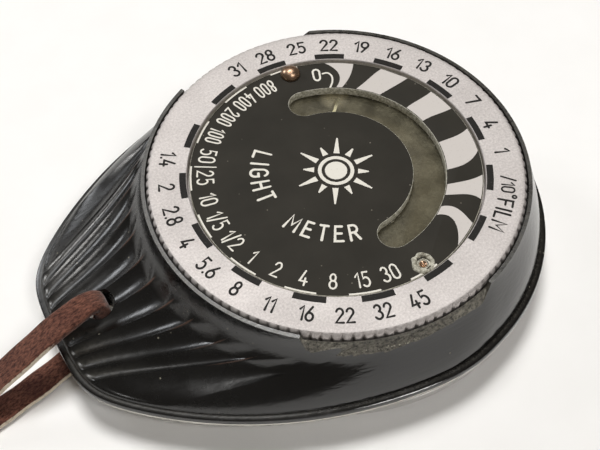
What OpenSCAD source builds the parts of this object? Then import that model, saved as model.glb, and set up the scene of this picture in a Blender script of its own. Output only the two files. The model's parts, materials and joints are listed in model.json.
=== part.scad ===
// Selenium light meter with a turning calculator ring, a moving-coil needle and a wrist lace.
// Frame: millimetres. The origin is on the dial's axis at the plane that the back rests on.
// +Z is up through the dial, +X points to the round head, and the fluted tail lies along -X.

/* [Body] */
// Radius of the round head at the rim
head_r = 29.7; // [29.5:0.1:30.5]
// Distance from the dial's axis to the blunt end of the tail
tail_len = 42.4; // [41:0.1:46]
// Radius of the arcs that join the head to the tail
flank_r = 59.8; // [56:0.1:66]
// Height of the rim's lower edge above the table
rim_z = 5.2; // [5:0.1:5.6]
// Height of the collar around the calculator ring
collar_z = 16.2; // [15.8:0.1:16.4]
// Outer radius of the collar
collar_r = 26.2; // [26.2:0.1:26.6]
// Deepest cut of a flute at its wide end
flute_deep = 0.8; // [0.3:0.05:0.9]
// Radius of the hole for the lace
lace_hole_r = 2.1; // [2:0.1:2.4]
// Distance of the lace's hole from the dial's axis
lace_hole_x = 35.3; // [34.8:0.1:36]

/* [Calculator ring] */
// Outer radius of the ring over its knurl
ring_r = 25.5; // [25.3:0.05:25.6]
// Inner radius of the ring's face
ring_in_r = 20; // [19.95:0.01:20.1]
// Height of the ring's face
ring_top = 16.5; // [16.4:0.05:16.8]
// Number of notches round the ring
knurl_count = 120; // [90:2:120]

/* [Dial] */
// Radius of the dial plate
dial_r = 19.75; // [19.7:0.01:19.8]
// Height of the dial's face
dial_top = 16.1; // [16:0.05:16.2]
// Thickness of the dial plate
dial_t = 1.3; // [1.2:0.05:1.35]
// Inner radius of the arc-shaped slot
slot_in_r = 10.4; // [10.2:0.1:11]
// Outer radius of the arc-shaped slot
slot_out_r = 14.8; // [14.4:0.1:15]
// Angle from the head's centre line to the centre of each round end of the slot
slot_end = 82; // [76:1:84]

/* [Needle movement] */
// Distance of the needle's pivot from the dial's axis, towards the tail
pivot_off = 5; // [4.8:0.1:5.2]
// Angle of the needle at rest, from +X
needle_rest = 46; // [44:1:47]
// Length of the needle from its pivot
needle_len = 17.2; // [15:0.1:17.4]
// Radius of the soft iron core
core_r = 3; // [2.8:0.05:3]
// Inner radius of the pole pieces
pole_r = 4.3; // [4.3:0.05:4.5]
// Outer radius of the magnet
magnet_r = 10.5; // [10.2:0.1:10.6]

/* [Cell and back] */
// Outer radius of the cell's bezel
bezel_r = 29.6; // [29.2:0.1:29.7]
// Radius of the opening in the bezel
bezel_open_r = 23; // [22:0.1:23.2]
// Thickness of the back plate
plate_t = 0.7; // [0.6:0.05:0.75]

/* [Lace] */
// Width of the flat lace
lace_w = 3.8; // [3.4:0.1:3.8]
// Thickness of the flat lace
lace_t = 1.1; // [0.9:0.1:1.1]

/* [Hidden] */

$fn = 48;
eps = 0.01;

// Heights of the body
bead_z = rim_z + 1;            // top of the bead along the rim
wall_z = rim_z + 1.4;          // foot of the moulded wall above the bead
bead_in = 0.9;                 // step between the bead and the wall
recess_r = ring_r + 0.2;       // well that the ring turns in
recess_z = 13.6;
cavity_r = 26;
cavity_z = 11.9;
hub_r = 19.3;                  // boss that the ring's flange turns on
hub_open_r = 16.9;
dial_z = dial_top - dial_t;
ring_flange_r = hub_r + 0.08;
ring_z = 14;
gap_from = 70;                 // finger gaps in the collar, from the head's centre line
gap_span = 45;
gap_z = recess_z;

// The fluted tail: angles are from the tail's centre line.
// Each pair is the angle at the collar and the angle at the rim of one line down the wall.
fan = [[0, 0], [4.3, 1.5], [14.3, 4.3], [23.5, 6.8], [35.8, 9.5], [50, 12.3], [60, 17],
       [72, 27], [84, 45], [97, 72], [112, 100], [135, 131], [180, 180]];
crests = [-72, -50, -35.8, -23.5, -14.3, -4.3, 4.3, 14.3, 23.5, 35.8, 50, 72];
flute_steps = 4;
plain_steps = 24;
flute_end_r = 28.5;            // where the crests stop, short of the collar
flute_arch = 1.3;              // how much farther the middle of a flute runs
wall_steps = [0, 0.1, 0.25, 0.42, 0.58, 0.7, 0.8, 0.87, 0.93, 1];

// Screws and rivets
case_screw_xy = [[-33, 7.2], [-33, -7.2], [-25.4, 19.8], [-25.4, -19.8]];
case_screw_r = 0.9;
rivet_at = 18.45;
rivet_az = slot_end;
rivet_r = 0.5;
mount_screw_at = 18.1;
bezel_rivet_at = 27.2;

// The cell's pack, from the window up
pack_r = 25.2;
window_z = 1.2;
window_t = 1.2;
baffle_z = window_z + window_t;
baffle_t = 0.5;
contact_z = baffle_z + baffle_t;
cell_z = contact_z + 0.2;
cell_t = 0.6;
spring_z = cell_z + cell_t;
plate_z = rim_z - plate_t;
disc_t = 0.5;
disc_z = plate_z - disc_t;
pack_clear = 0.1;

// Heights of the movement
pivot = [-pivot_off, 0, 0];
magnet_z = 6.8;
magnet_h = 4.6;
magnet_in_r = 7.2;
coil_in_r = 3.3;
coil_w = 1.6;
coil_lo = 6.35;
coil_hi = 11.85;
needle_z = 13.2;
bridge_z = 13.8;
bridge_t = 0.5;
low_bridge_z = 4.8;
post_y = 8.8;
mount_plate_t = 0.5;
mount_plate_z = cavity_z - mount_plate_t;
scale_z = 12.2;
scale_t = 0.3;
scale_post = [-2, 9.6];
stop_turn = 6;                 // the stops stand this far past the ends of the needle's travel
travel_hi = 4;
travel_lo = -92;

// Route of the lace's middle line: up out of the hole, over the tail's end, down to the table,
// round a wrist loop and back under the tail into the hole.
lace_route = [
    [-35.3, 0, 6.6], [-35.3, 0, 8.4], [-35.8, 0, 9.8], [-37.2, -0.3, 10.4],
    [-39.6, -0.7, 9.9], [-42, -1, 9.2], [-45, -1.4, 7.9], [-50, -2, 5.6], [-56, -2.4, 3],
    [-63, -1.5, 1], [-72, 1.5, 0.6], [-84, 6.5, 0.6], [-97, 11.5, 0.6], [-110, 14.5, 0.6],
    [-123, 14, 0.6], [-134, 9, 0.6], [-139.5, 0, 0.6], [-138, -10, 0.6], [-130, -17.5, 0.6],
    [-118, -20.5, 0.6], [-105, -19.5, 0.6], [-92, -15.5, 0.6], [-79, -11, 0.6],
    [-67, -7.5, 0.6], [-56, -5, 0.6], [-48, -3.2, 0.7], [-42, -1.6, 1], [-38, -0.6, 1.8],
    [-35.9, -0.1, 3.2], [-35.3, 0, 4.8], [-35.3, 0, 6]];

// ---------- Shared shapes ----------

function mix(a, b, w) = a + (b - a) * w;
function ease(x) = let (c = min(max(x, 0), 1)) c * c * (3 - 2 * c);

// Radius of the outline at an angle from the tail: the flank arc, rounded into the blunt end.
function flank(a) =
    let (off = flank_r - head_r, tang = 95, b = abs(a),
         cx = off * cos(tang), cy = off * sin(tang),
         along = cx * cos(b) - cy * sin(b))
    along + sqrt(flank_r * flank_r - off * off + along * along);
function rounded_min(a, b) = a * pow(1 + pow(a / b, 30), -1 / 30);
function outline(a) =
    let (b = abs(a), side = b > 95 ? head_r : flank(b))
    b > 70 ? side : rounded_min(side, tail_len / cos(b));

// A point at radius r and angle a from the tail's centre line
function tail_polar(r, a) = [-r * cos(a), -r * sin(a)];

// Share of the tail's swept shape in the wall at collar angle a: 1 on the tail, 0 on the head
function tail_share(a) = 1 - ease((abs(a) - 40) / 75);

function bezier(t, a, b, c, d) =
    let (u = 1 - t) u * u * u * a + 3 * u * u * t * b + 3 * u * t * t * c + t * t * t * d;

// Depth of the flutes: a parabola across each flute that runs out towards the collar
function flute_at(a) = [for (i = [0:len(crests) - 2])
    if (a >= crests[i] && a <= crests[i + 1]) 2 * (a - crests[i]) / (crests[i + 1] - crests[i]) - 1];
function flute_depth(a, r, s) =
    let (v = flute_at(a))
    len(v) == 0 ? 0 :
    let (full = mix(flute_deep, flute_deep * 0.45, s) * ease((1 - s) / 0.08))
    max(0, full * (1 - v[0] * v[0]) - max(0, full * (flute_end_r - r) / flute_arch));

function wall_point(a, t) =
    let (w = tail_share(a), foot = lookup(abs(a), fan) * sign(a),
         rim = tail_polar(outline(foot) - bead_in, foot), top = tail_polar(collar_r, a),
         s = bezier(t, 1, mix(0.85, 0.93, w), mix(0.3, 0.026, w), 0),
         z = bezier(t, wall_z, mix(9.8, 9, w), mix(13.5, 8.6, w), collar_z),
         xy = top + s * (rim - top))
    [xy[0], xy[1], z - flute_depth(a, norm(xy), s)];

function rim_point(a, inset, z) =
    let (foot = lookup(abs(a), fan) * sign(a), p = tail_polar(outline(foot) - inset, foot))
    [p[0], p[1], z];

function columns() = concat(
    [for (i = [0:len(crests) - 2], k = [0:flute_steps - 1])
        mix(crests[i], crests[i + 1], k / flute_steps)],
    [for (k = [0:plain_steps - 1]) mix(crests[len(crests) - 1], 360 + crests[0], k / plain_steps)]);
function signed(a) = a > 180 ? a - 360 : a;

// Closed skin through rings of points, capped flat at both ends
module skin(rings) {
    m = len(rings);
    n = len(rings[0]);
    points = [for (ring = rings) for (p = ring) p];
    sides = [for (i = [0:m - 2], j = [0:n - 1])
        let (k = (j + 1) % n)
        each [[i * n + j, (i + 1) * n + j, i * n + k], [i * n + k, (i + 1) * n + j, (i + 1) * n + k]]];
    floor_cap = [[for (j = [0:n - 1]) j]];
    top_cap = [[for (j = [n - 1:-1:0]) (m - 1) * n + j]];
    polyhedron(points, concat(sides, floor_cap, top_cap));
}

module at_polar(r, az) {
    rotate([0, 0, az]) translate([r, 0, 0]) children();
}

module tube(r_out, r_in, z, h) {
    translate([0, 0, z]) difference() {
        cylinder(r = r_out, h = h);
        translate([0, 0, -1]) cylinder(r = r_in, h = h + 2);
    }
}

// Ring sector from angle a0 through span, between two radii and from z up by h
module sector(r_in, r_out, z, h, a0, span) {
    rotate([0, 0, a0]) rotate_extrude(angle = span, $fn = 96)
        translate([r_in, z]) square([r_out - r_in, h]);
}

// Screw that stands on its head, with the slot underneath
module slotted_screw(cap_r, cap_h, shank_r, shank_l, slot_w) {
    difference() {
        union() {
            cylinder(r = cap_r, h = cap_h);
            translate([0, 0, cap_h - eps]) cylinder(r = shank_r, h = shank_l + eps);
        }
        translate([-cap_r - 1, -slot_w / 2, -1]) cube([2 * cap_r + 2, slot_w, 1 + cap_h / 2]);
    }
}

// ---------- Case ----------

module shell_skin() {
    cols = [for (a = columns()) signed(a)];
    skin(concat(
        [[for (a = cols) rim_point(a, 0.1, rim_z)],
         [for (a = cols) rim_point(a, 0, bead_z)]],
        [for (t = wall_steps) [for (a = cols) wall_point(a, t)]]));
}

module upper_shell() {
    color("#191817") difference() {
        shell_skin();
        tube(recess_r, hub_r, recess_z, 4);
        translate([0, 0, dial_z]) cylinder(r = recess_r, h = 3);
        cylinder(r = hub_open_r, h = 20);
        translate([0, 0, rim_z - 1]) cylinder(r = cavity_r, h = cavity_z - rim_z + 1);
        for (side = [gap_from, -gap_from - gap_span])
            sector(recess_r - 0.5, head_r + 1, gap_z, 4, side, gap_span);
        difference() {
            translate([-38, -9, rim_z - 1]) cube([14, 18, 2.8]);
            translate([-lace_hole_x, 0, 0]) cylinder(r = 3.6, h = 9);
            for (p = case_screw_xy) translate(p) cylinder(r = 2.2, h = 9);
        }
        translate([-lace_hole_x, 0, 0]) cylinder(r = lace_hole_r, h = 14);
        for (p = case_screw_xy) translate([p[0], p[1], rim_z - 1]) cylinder(r = case_screw_r, h = 3.4);
        for (s = [-1, 1]) at_polar(rivet_at, s * rivet_az)
            translate([0, 0, 12.6]) cylinder(r = rivet_r, h = 3);
        for (az = [0, 120, 240]) at_polar(mount_screw_at, az)
            translate([0, 0, cavity_z - 1]) cylinder(r = 0.45, h = 3);
        for (az = [45:90:315]) at_polar(bezel_rivet_at, az)
            translate([0, 0, rim_z - 1]) cylinder(r = 1.25, h = 1.6);
    }
}

module plate_outline(inset) {
    polygon([for (a = [0:3:357]) tail_polar(outline(signed(a)) - inset, a)]);
}

module back_plate() {
    color("#C9C7C2") {
        difference() {
            translate([0, 0, plate_z]) linear_extrude(plate_t) plate_outline(0.15);
            translate([0, 0, 4]) cylinder(r = 20, h = 2);
            translate([-lace_hole_x, 0, 4]) cylinder(r = lace_hole_r + 0.2, h = 2);
            for (p = case_screw_xy) translate([p[0], p[1], plate_z]) {
                translate([0, 0, -1]) cylinder(r = case_screw_r + 0.15, h = 3);
                translate([0, 0, -eps]) cylinder(r1 = 1.7, r2 = case_screw_r + 0.15, h = 0.6);
            }
            for (az = [45:90:315]) at_polar(bezel_rivet_at, az)
                translate([0, 0, 4]) cylinder(r = 0.6, h = 2);
        }
        for (az = [-35, 35]) sector(25.2, 25.7, rim_z - eps, 2, az - 6, 12);
    }
}

module case_screws() {
    color("#B8B4AA") for (p = case_screw_xy) translate([p[0], p[1], plate_z + 0.02])
        difference() {
            union() {
                cylinder(r1 = 1.65, r2 = case_screw_r, h = 0.55);
                cylinder(r = case_screw_r - 0.03, h = 3);
            }
            translate([-2, -0.2, -1]) cube([4, 0.4, 1.25]);
        }
}

module cell_bezel() {
    color("#D9D7D3") difference() {
        rotate_extrude($fn = 144) polygon([
            [bezel_open_r, 0.5], [bezel_open_r + 0.5, 0], [26.9, 0], [27.9, 0.3], [28.6, 0.9],
            [29, 1.7], [bezel_r, plate_z - 0.3], [bezel_r - 0.1, plate_z], [pack_r, plate_z],
            [pack_r, 1], [bezel_open_r, 1]]);
        for (az = [45:90:315]) at_polar(bezel_rivet_at, az)
            translate([0, 0, 2.5]) cylinder(r = 0.6, h = 3);
    }
}

module bezel_rivets() {
    color("#B8B4AA") for (az = [45:90:315]) at_polar(bezel_rivet_at, az) {
        translate([0, 0, 2.6]) cylinder(r = 0.57, h = rim_z - 2.6 + 0.1);
        translate([0, 0, rim_z]) cylinder(r = 1.1, h = 0.4);
    }
}

// ---------- Cell ----------

module window_gasket() {
    color("#2B2A28") tube(pack_r - pack_clear, bezel_open_r + 0.3, 1, window_z - 1);
}

module cell_window() {
    color("#DCE3E4", 0.6) translate([0, 0, window_z])
        cylinder(r = pack_r - pack_clear, h = window_t, $fn = 96);
}

module light_baffle() {
    pitch = 4.6;
    rows = 4;
    color("#242321") difference() {
        translate([0, 0, baffle_z]) cylinder(r = pack_r - pack_clear, h = baffle_t, $fn = 96);
        for (q = [-rows:rows], p = [-rows:rows])
            let (x = pitch * (q + p / 2), y = pitch * p * sin(60))
            if (norm([x, y]) < 20.5)
                translate([x, y, baffle_z - 1]) rotate([0, 0, 30]) cylinder(r = 2.3, h = 3, $fn = 6);
    }
}

module contact_ring() {
    color("#C8A04A") tube(24.3, 22.4, contact_z, cell_z - contact_z);
}

module selenium_cell() {
    color("#4A4238") translate([0, 0, cell_z]) cylinder(r = 24.4, h = cell_t, $fn = 96);
}

module contact_spring() {
    color("#B98A4E") {
        tube(6, 3.6, spring_z, 0.15);
        for (az = [0, 120, 240]) rotate([0, 0, az])
            translate([5.8, -1.5, spring_z]) cube([9, 3, 0.15]);
        for (az = [0, 120, 240]) at_polar(14, az)
            translate([0, 0, spring_z + 0.15 - eps]) cylinder(r = 1, h = disc_z - spring_z - 0.15 + eps);
    }
}

module insulating_disc() {
    color("#7A5A36") difference() {
        translate([0, 0, disc_z]) cylinder(r = pack_r - pack_clear, h = disc_t, $fn = 96);
        for (s = [-1, 1]) translate([14, 5 * s, 3]) cylinder(r = 0.8, h = 3);
    }
}

// ---------- Calculator ring and dial ----------

module calculator_ring() {
    notch_r = 0.32;
    color("#D6CFCC") difference() {
        union() {
            tube(ring_r, ring_in_r, ring_z, ring_top - ring_z - 0.35);
            translate([0, 0, ring_top - 0.35 - eps]) difference() {
                cylinder(r1 = ring_r, r2 = ring_r - 0.35, h = 0.35 + eps, $fn = 120);
                translate([0, 0, -1]) cylinder(r = ring_in_r, h = 3, $fn = 120);
            }
            tube(ring_in_r + 0.2, ring_flange_r, ring_z, dial_z - 0.1 - ring_z);
        }
        for (k = [0:knurl_count - 1]) at_polar(ring_r + 0.1, k * 360 / knurl_count)
            translate([0, 0, ring_z - 1]) cylinder(r = notch_r, h = 6, $fn = 4);
    }
}

module ring_spring() {
    color("#A9A6A0") {
        tube(24.6, 21.6, recess_z, 0.12);
        for (az = [0:60:300]) sector(21.8, 24.4, recess_z + 0.1, 0.25, az - 7, 14);
    }
}

module dial_plate() {
    mid_r = (slot_in_r + slot_out_r) / 2;
    end_r = (slot_out_r - slot_in_r) / 2;
    color("#35332F") difference() {
        translate([0, 0, dial_z]) cylinder(r = dial_r, h = dial_t, $fn = 144);
        sector(slot_in_r, slot_out_r, dial_z - 1, dial_t + 2, -slot_end, 2 * slot_end);
        for (s = [-1, 1]) at_polar(mid_r, s * slot_end)
            translate([0, 0, dial_z - 1]) cylinder(r = end_r, h = dial_t + 2);
        for (s = [-1, 1]) at_polar(rivet_at, s * rivet_az)
            translate([0, 0, dial_z - 1]) cylinder(r = rivet_r + 0.02, h = dial_t + 2);
    }
}

// One rivet keeps its domed head; its twin has lost the head and only the stub is left.
module dial_rivets() {
    color("#9A6B45") {
        at_polar(rivet_at, rivet_az) {
            translate([0, 0, 12.7]) cylinder(r = rivet_r - 0.01, h = dial_top - 12.7 + 0.1);
            translate([0, 0, dial_top]) intersection() {
                translate([0, 0, -0.5]) sphere(r = 1.7, $fn = 48);
                cylinder(r = 1.4, h = 2);
            }
        }
        at_polar(rivet_at, -rivet_az)
            translate([0, 0, 12.7]) cylinder(r = rivet_r - 0.01, h = dial_top - 12.7 - 0.1);
    }
}

module dial_window() {
    color("#E6E4D8", 0.4) sector(9.5, 16.3, dial_z - 0.6, 0.6, -98, 196);
}

// Floor of the scale with an upright outer wall
module scale_plate() {
    wall_top = 14.1;
    color("#5B5340") difference() {
        rotate([0, 0, -106]) rotate_extrude(angle = 212, $fn = 96) polygon([
            [8.6, scale_z], [16.4, scale_z], [16.4, wall_top], [16, wall_top],
            [16, scale_z + scale_t], [8.6, scale_z + scale_t]]);
        for (s = [-1, 1]) translate([scale_post[0], s * scale_post[1], 12]) cylinder(r = 0.45, h = 2);
    }
}

module scale_spacers() {
    color("#B08D4A") for (s = [-1, 1]) translate([scale_post[0], s * scale_post[1], 0])
        tube(0.9, 0.45, cavity_z, scale_z - cavity_z);
}

module scale_screws() {
    color("#B8B4AA") for (s = [-1, 1]) translate([scale_post[0], s * scale_post[1], 0])
        difference() {
            union() {
                translate([0, 0, mount_plate_z + 0.05]) cylinder(r = 0.42, h = 1.2);
                translate([0, 0, scale_z + scale_t]) cylinder(r = 0.8, h = 0.35);
            }
            translate([-1, -0.12, scale_z + scale_t + 0.18]) cube([2, 0.24, 1]);
        }
}

// ---------- Movement frame ----------

module mounting_plate() {
    color("#B89A5A") difference() {
        translate([0, 0, mount_plate_z]) cylinder(r = 20.5, h = mount_plate_t, $fn = 96);
        translate([-pivot_off, 0, 10]) cylinder(r = magnet_in_r - 0.4, h = 3);
        translate([9, 0, 10]) cylinder(r = 4, h = 3);
        for (s = [-1, 1]) {
            translate([scale_post[0], s * scale_post[1], 10]) cylinder(r = 0.45, h = 3);
            translate([-pivot_off, s * post_y, 10]) cylinder(r = 0.6, h = 3);
        }
        for (az = [0, 120, 240]) at_polar(mount_screw_at, az)
            translate([0, 0, 10]) cylinder(r = 0.5, h = 3);
    }
}

module mounting_screws() {
    color("#B8B4AA") for (az = [0, 120, 240]) at_polar(mount_screw_at, az)
        translate([0, 0, mount_plate_z - 0.6]) slotted_screw(1.1, 0.6, 0.43, 2.2, 0.3);
}

module magnet() {
    color("#6E6F72") difference() {
        translate(pivot) sector(magnet_in_r, magnet_r, magnet_z, magnet_h, 60, 240);
        for (s = [-1, 1]) translate([-pivot_off, s * post_y, 5]) cylinder(r = 0.62, h = 9);
    }
}

module pole_pieces() {
    color("#8C8B88") for (az = [50, 230])
        translate(pivot) sector(pole_r, magnet_in_r, magnet_z, magnet_h, az, 80);
}

module iron_core() {
    color("#8C8B88") translate(pivot) difference() {
        translate([0, 0, magnet_z + 0.2]) cylinder(r = core_r, h = magnet_h - 0.4);
        translate([0, 0, magnet_z - 1]) cylinder(r = 0.7, h = magnet_h + 2);
    }
}

// Holds the core from the magnet's closed side, between the two sweeps of the coil
module core_bracket() {
    color("#B89A5A") translate(pivot) difference() {
        translate([0.06 - magnet_in_r, -0.8, 8.6]) cube([magnet_in_r - core_r + 0.3, 1.6, 1]);
        translate([0, 0, 8]) cylinder(r = core_r, h = 3);
    }
}

// Closed rectangular former of the coil: its two sides ride in the gap round the core
module coil_loop(r_in, r_out, inner, outer) {
    half = coil_w / 2;
    difference() {
        translate([-half, -r_out, coil_lo + outer]) cube([coil_w, 2 * r_out, coil_hi - coil_lo - 2 * outer]);
        translate([-coil_w, -r_in, coil_lo + inner]) cube([2 * coil_w, 2 * r_in, coil_hi - coil_lo - 2 * inner]);
    }
}

module on_needle() {
    translate(pivot) rotate([0, 0, needle_rest]) children();
}

module coil_frame() {
    color("#C4C6C8") on_needle() coil_loop(coil_in_r, coil_in_r + 0.2, 0.5, 0.35);
}

module coil_winding() {
    color("#A8552A") on_needle() coil_loop(coil_in_r + 0.2, coil_in_r + 0.6, 0.35, 0);
}

module upper_staff() {
    color("#B9BBBE") on_needle() {
        translate([0, 0, coil_hi]) cylinder(r = 0.7, h = 0.2);
        translate([0, 0, coil_hi]) cylinder(r = 0.22, h = bridge_z - coil_hi - 0.1);
    }
}

module lower_staff() {
    color("#B9BBBE") on_needle() {
        translate([0, 0, coil_lo - 0.2]) cylinder(r = 0.7, h = 0.2);
        translate([0, 0, 5.6]) cylinder(r = 0.22, h = coil_lo - 5.6);
    }
}

// Flat spiral from r0 out to r1
module spiral(r0, r1, turns, w, h) {
    steps = 16 * turns;
    edge = function(d) [for (k = [0:steps])
        let (r = mix(r0, r1, k / steps) + d, a = 360 * turns * k / steps) [r * cos(a), r * sin(a)]];
    outer = edge(w / 2);
    inner = edge(-w / 2);
    linear_extrude(h) polygon(concat(outer, [for (k = [steps:-1:0]) inner[k]]));
}

module upper_hairspring() {
    color("#B98A4E") translate(pivot) translate([0, 0, 12.3]) spiral(0.5, 2.1, 4, 0.12, 0.3);
}

module lower_hairspring() {
    color("#B98A4E") translate(pivot) translate([0, 0, 5.8]) spiral(0.5, 2.1, 4, 0.12, 0.25);
}

module needle() {
    color("#E9DDA0") on_needle() {
        difference() {
            union() {
                translate([0, 0, needle_z - 0.15]) cylinder(r = 0.8, h = 0.3);
                translate([0.5, -0.22, needle_z - 0.1]) cube([needle_len - 0.5, 0.44, 0.2]);
                translate([-3, -0.25, needle_z - 0.1]) cube([2.6, 0.5, 0.2]);
            }
            translate([0, 0, 12]) cylinder(r = 0.22, h = 3);
        }
    }
}

module balance_weights() {
    color("#B89A5A") on_needle() translate([-2.4, 0, 0]) difference() {
        translate([-0.45, -0.6, needle_z - 0.35]) cube([0.9, 1.2, 0.7]);
        translate([-2, -0.25, needle_z - 0.1]) cube([4, 0.5, 0.2]);
    }
}

module needle_stops() {
    color("#3A3835") for (a = [needle_rest + travel_hi + stop_turn, needle_rest + travel_lo - stop_turn])
        translate(pivot) rotate([0, 0, a]) translate([11.5, 0, scale_z + scale_t])
            cylinder(r = 0.5, h = 1.4);
}

module bridge_bar(z) {
    difference() {
        union() {
            translate([-pivot_off - 1.5, -post_y, z]) cube([3, 2 * post_y, bridge_t]);
            for (s = [-1, 1]) translate([-pivot_off, s * post_y, z]) cylinder(r = 1.5, h = bridge_t);
            translate([-pivot_off, 0, z]) cylinder(r = 2, h = bridge_t);
        }
        translate([-pivot_off, 0, z - 1]) cylinder(r = 0.9, h = 3);
        for (s = [-1, 1]) translate([-pivot_off, s * post_y, z - 1]) cylinder(r = 0.62, h = 3);
    }
}

module upper_bridge() {
    color("#B89A5A") bridge_bar(bridge_z);
}

module lower_bridge() {
    color("#B89A5A") bridge_bar(low_bridge_z);
}

module bridge_spacers() {
    color("#B08D4A") for (s = [-1, 1]) translate([-pivot_off, s * post_y, 0]) {
        tube(1.2, 0.62, cavity_z, bridge_z - cavity_z);
        tube(1.2, 0.62, low_bridge_z + bridge_t, magnet_z - low_bridge_z - bridge_t);
    }
}

module bridge_screws() {
    color("#B8B4AA") for (s = [-1, 1]) translate([-pivot_off, s * post_y, 0]) difference() {
        union() {
            translate([0, 0, low_bridge_z + 0.1]) cylinder(r = 0.56, h = bridge_z + bridge_t - low_bridge_z);
            translate([0, 0, bridge_z + bridge_t]) cylinder(r = 1.1, h = 0.4);
        }
        translate([-2, -0.15, bridge_z + bridge_t + 0.2]) cube([4, 0.3, 1]);
    }
}

module upper_jewel() {
    color("#C9485A") translate(pivot) difference() {
        translate([0, 0, bridge_z - 0.3]) cylinder(r = 0.9, h = 1.2);
        translate([0, 0, bridge_z - 0.4]) cylinder(r = 0.27, h = 0.6);
        translate([-1, -0.12, bridge_z + 0.7]) cube([2, 0.24, 1]);
    }
}

module lower_jewel() {
    color("#C9485A") translate(pivot) difference() {
        translate([0, 0, low_bridge_z - 0.2]) cylinder(r = 0.9, h = 1.1);
        translate([0, 0, 5.5]) cylinder(r = 0.27, h = 1);
    }
}

// Spring regulator: turning it on the jewel's screw moves the needle's zero
module zero_adjuster() {
    color("#B89A5A") translate(pivot) {
        tube(1.7, 0.96, bridge_z + bridge_t + 0.02, 0.25);
        rotate([0, 0, 180]) translate([1.5, -0.5, bridge_z + bridge_t + 0.02]) cube([5, 1, 0.25]);
    }
}

// ---------- Wiring ----------

module terminal_board() {
    color("#7A5A36") translate([10.6, -6, 9]) cube([0.8, 12, 2.4]);
}

module solder_tags() {
    color("#C8A04A") for (s = [-1, 1]) translate([11.4, 4 * s, 10]) {
        translate([0, -0.8, -0.8]) cube([0.3, 1.6, 1.6]);
        translate([0, -0.3, -2.4]) cube([0.3, 0.6, 1.7]);
    }
}

module trim_resistor() {
    color("#6B7A52") translate([14.5, -4, 9.6]) rotate([-90, 0, 0]) {
        cylinder(r = 1.3, h = 8);
        for (y = [-0.4, 7.9]) translate([0, 0, y]) cylinder(r = 1.6, h = 0.5);
    }
}

function lead_route(s) = [[14, 5 * s, 4.2], [14, 5 * s, 5.4], [13, 4.8 * s, 6.2], [12, 4.3 * s, 6.8],
                          [11.55, 4 * s, 7.5]];

// Sweep of a closed section (points across and up) along a route
function ahead(route, i) =
    let (a = route[max(i - 1, 0)], b = route[min(i + 1, len(route) - 1)]) (b - a) / norm(b - a);

module wire(route, r) {
    ring = [for (k = [0:7]) [r * cos(45 * k), r * sin(45 * k)]];
    skin([for (i = [0:len(route) - 1])
        let (d = ahead(route, i), u = [0, 1, 0] - d * d[1], e = u / norm(u), f = cross(d, e))
        [for (p = ring) route[i] + p[0] * e + p[1] * f]]);
}

module lead_wires() {
    color("#8A2B22") for (s = [-1, 1]) wire(lead_route(s), 0.25);
}

// ---------- Lace ----------

function spline(p0, p1, p2, p3, t) =
    0.5 * (2 * p1 + (p2 - p0) * t + (2 * p0 - 5 * p1 + 4 * p2 - p3) * t * t
           + (3 * p1 - 3 * p2 + p3 - p0) * t * t * t);
function smooth_route(pts, n) = [for (i = [0:len(pts) - 2], k = [0:n - 1])
    spline(pts[max(i - 1, 0)], pts[i], pts[i + 1], pts[min(i + 2, len(pts) - 1)], k / n)];
// The lace's wide side stays across the hole at both ends and level along the table.
function lace_side(d) = let (level = [-d[1], d[0], 0]) norm(level) < 0.25 ? [0, -1, 0] : level / norm(level);

module lace() {
    path = concat(smooth_route(lace_route, 2), [lace_route[len(lace_route) - 1]]);
    w = lace_w / 2;
    t = lace_t / 2;
    section = [[w, t * 0.6], [w * 0.9, t], [-w * 0.9, t], [-w, t * 0.6],
               [-w, -t * 0.6], [-w * 0.9, -t], [w * 0.9, -t], [w, -t * 0.6]];
    color("#6B3A38") skin([for (i = [0:len(path) - 1])
        let (d = ahead(path, i), e = lace_side(d), f = cross(e, d) / norm(cross(e, d)))
        [for (p = section) path[i] + p[0] * e - p[1] * f]]);
}

upper_shell();
back_plate();
case_screws();
cell_bezel();
bezel_rivets();
window_gasket();
cell_window();
light_baffle();
contact_ring();
selenium_cell();
contact_spring();
insulating_disc();
calculator_ring();
ring_spring();
dial_plate();
dial_rivets();
dial_window();
scale_plate();
scale_spacers();
scale_screws();
mounting_plate();
mounting_screws();
magnet();
pole_pieces();
iron_core();
core_bracket();
coil_frame();
coil_winding();
upper_staff();
lower_staff();
upper_hairspring();
lower_hairspring();
needle();
balance_weights();
needle_stops();
upper_bridge();
lower_bridge();
bridge_spacers();
bridge_screws();
upper_jewel();
lower_jewel();
zero_adjuster();
terminal_board();
solder_tags();
trim_resistor();
lead_wires();
lace();
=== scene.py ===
# %% [markdown]
# # A selenium light meter
#
# A pocket light meter: a black phenolic case shaped like a scallop shell, a knurled calculator
# ring that turns round a printed dial, a needle behind an arc-shaped window, and a wrist lace.
# The CAD frame holds every part at its real size, with its joints. This notebook gives the parts
# that show their final surface: the camera and the lace first, then the case, the ring, the dial,
# the window and the metalwork, and last the light. Lengths are in millimetres until a mesh is
# made, so that the numbers can be compared with the real thing.

# %% Load the frame
import json
import math

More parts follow.
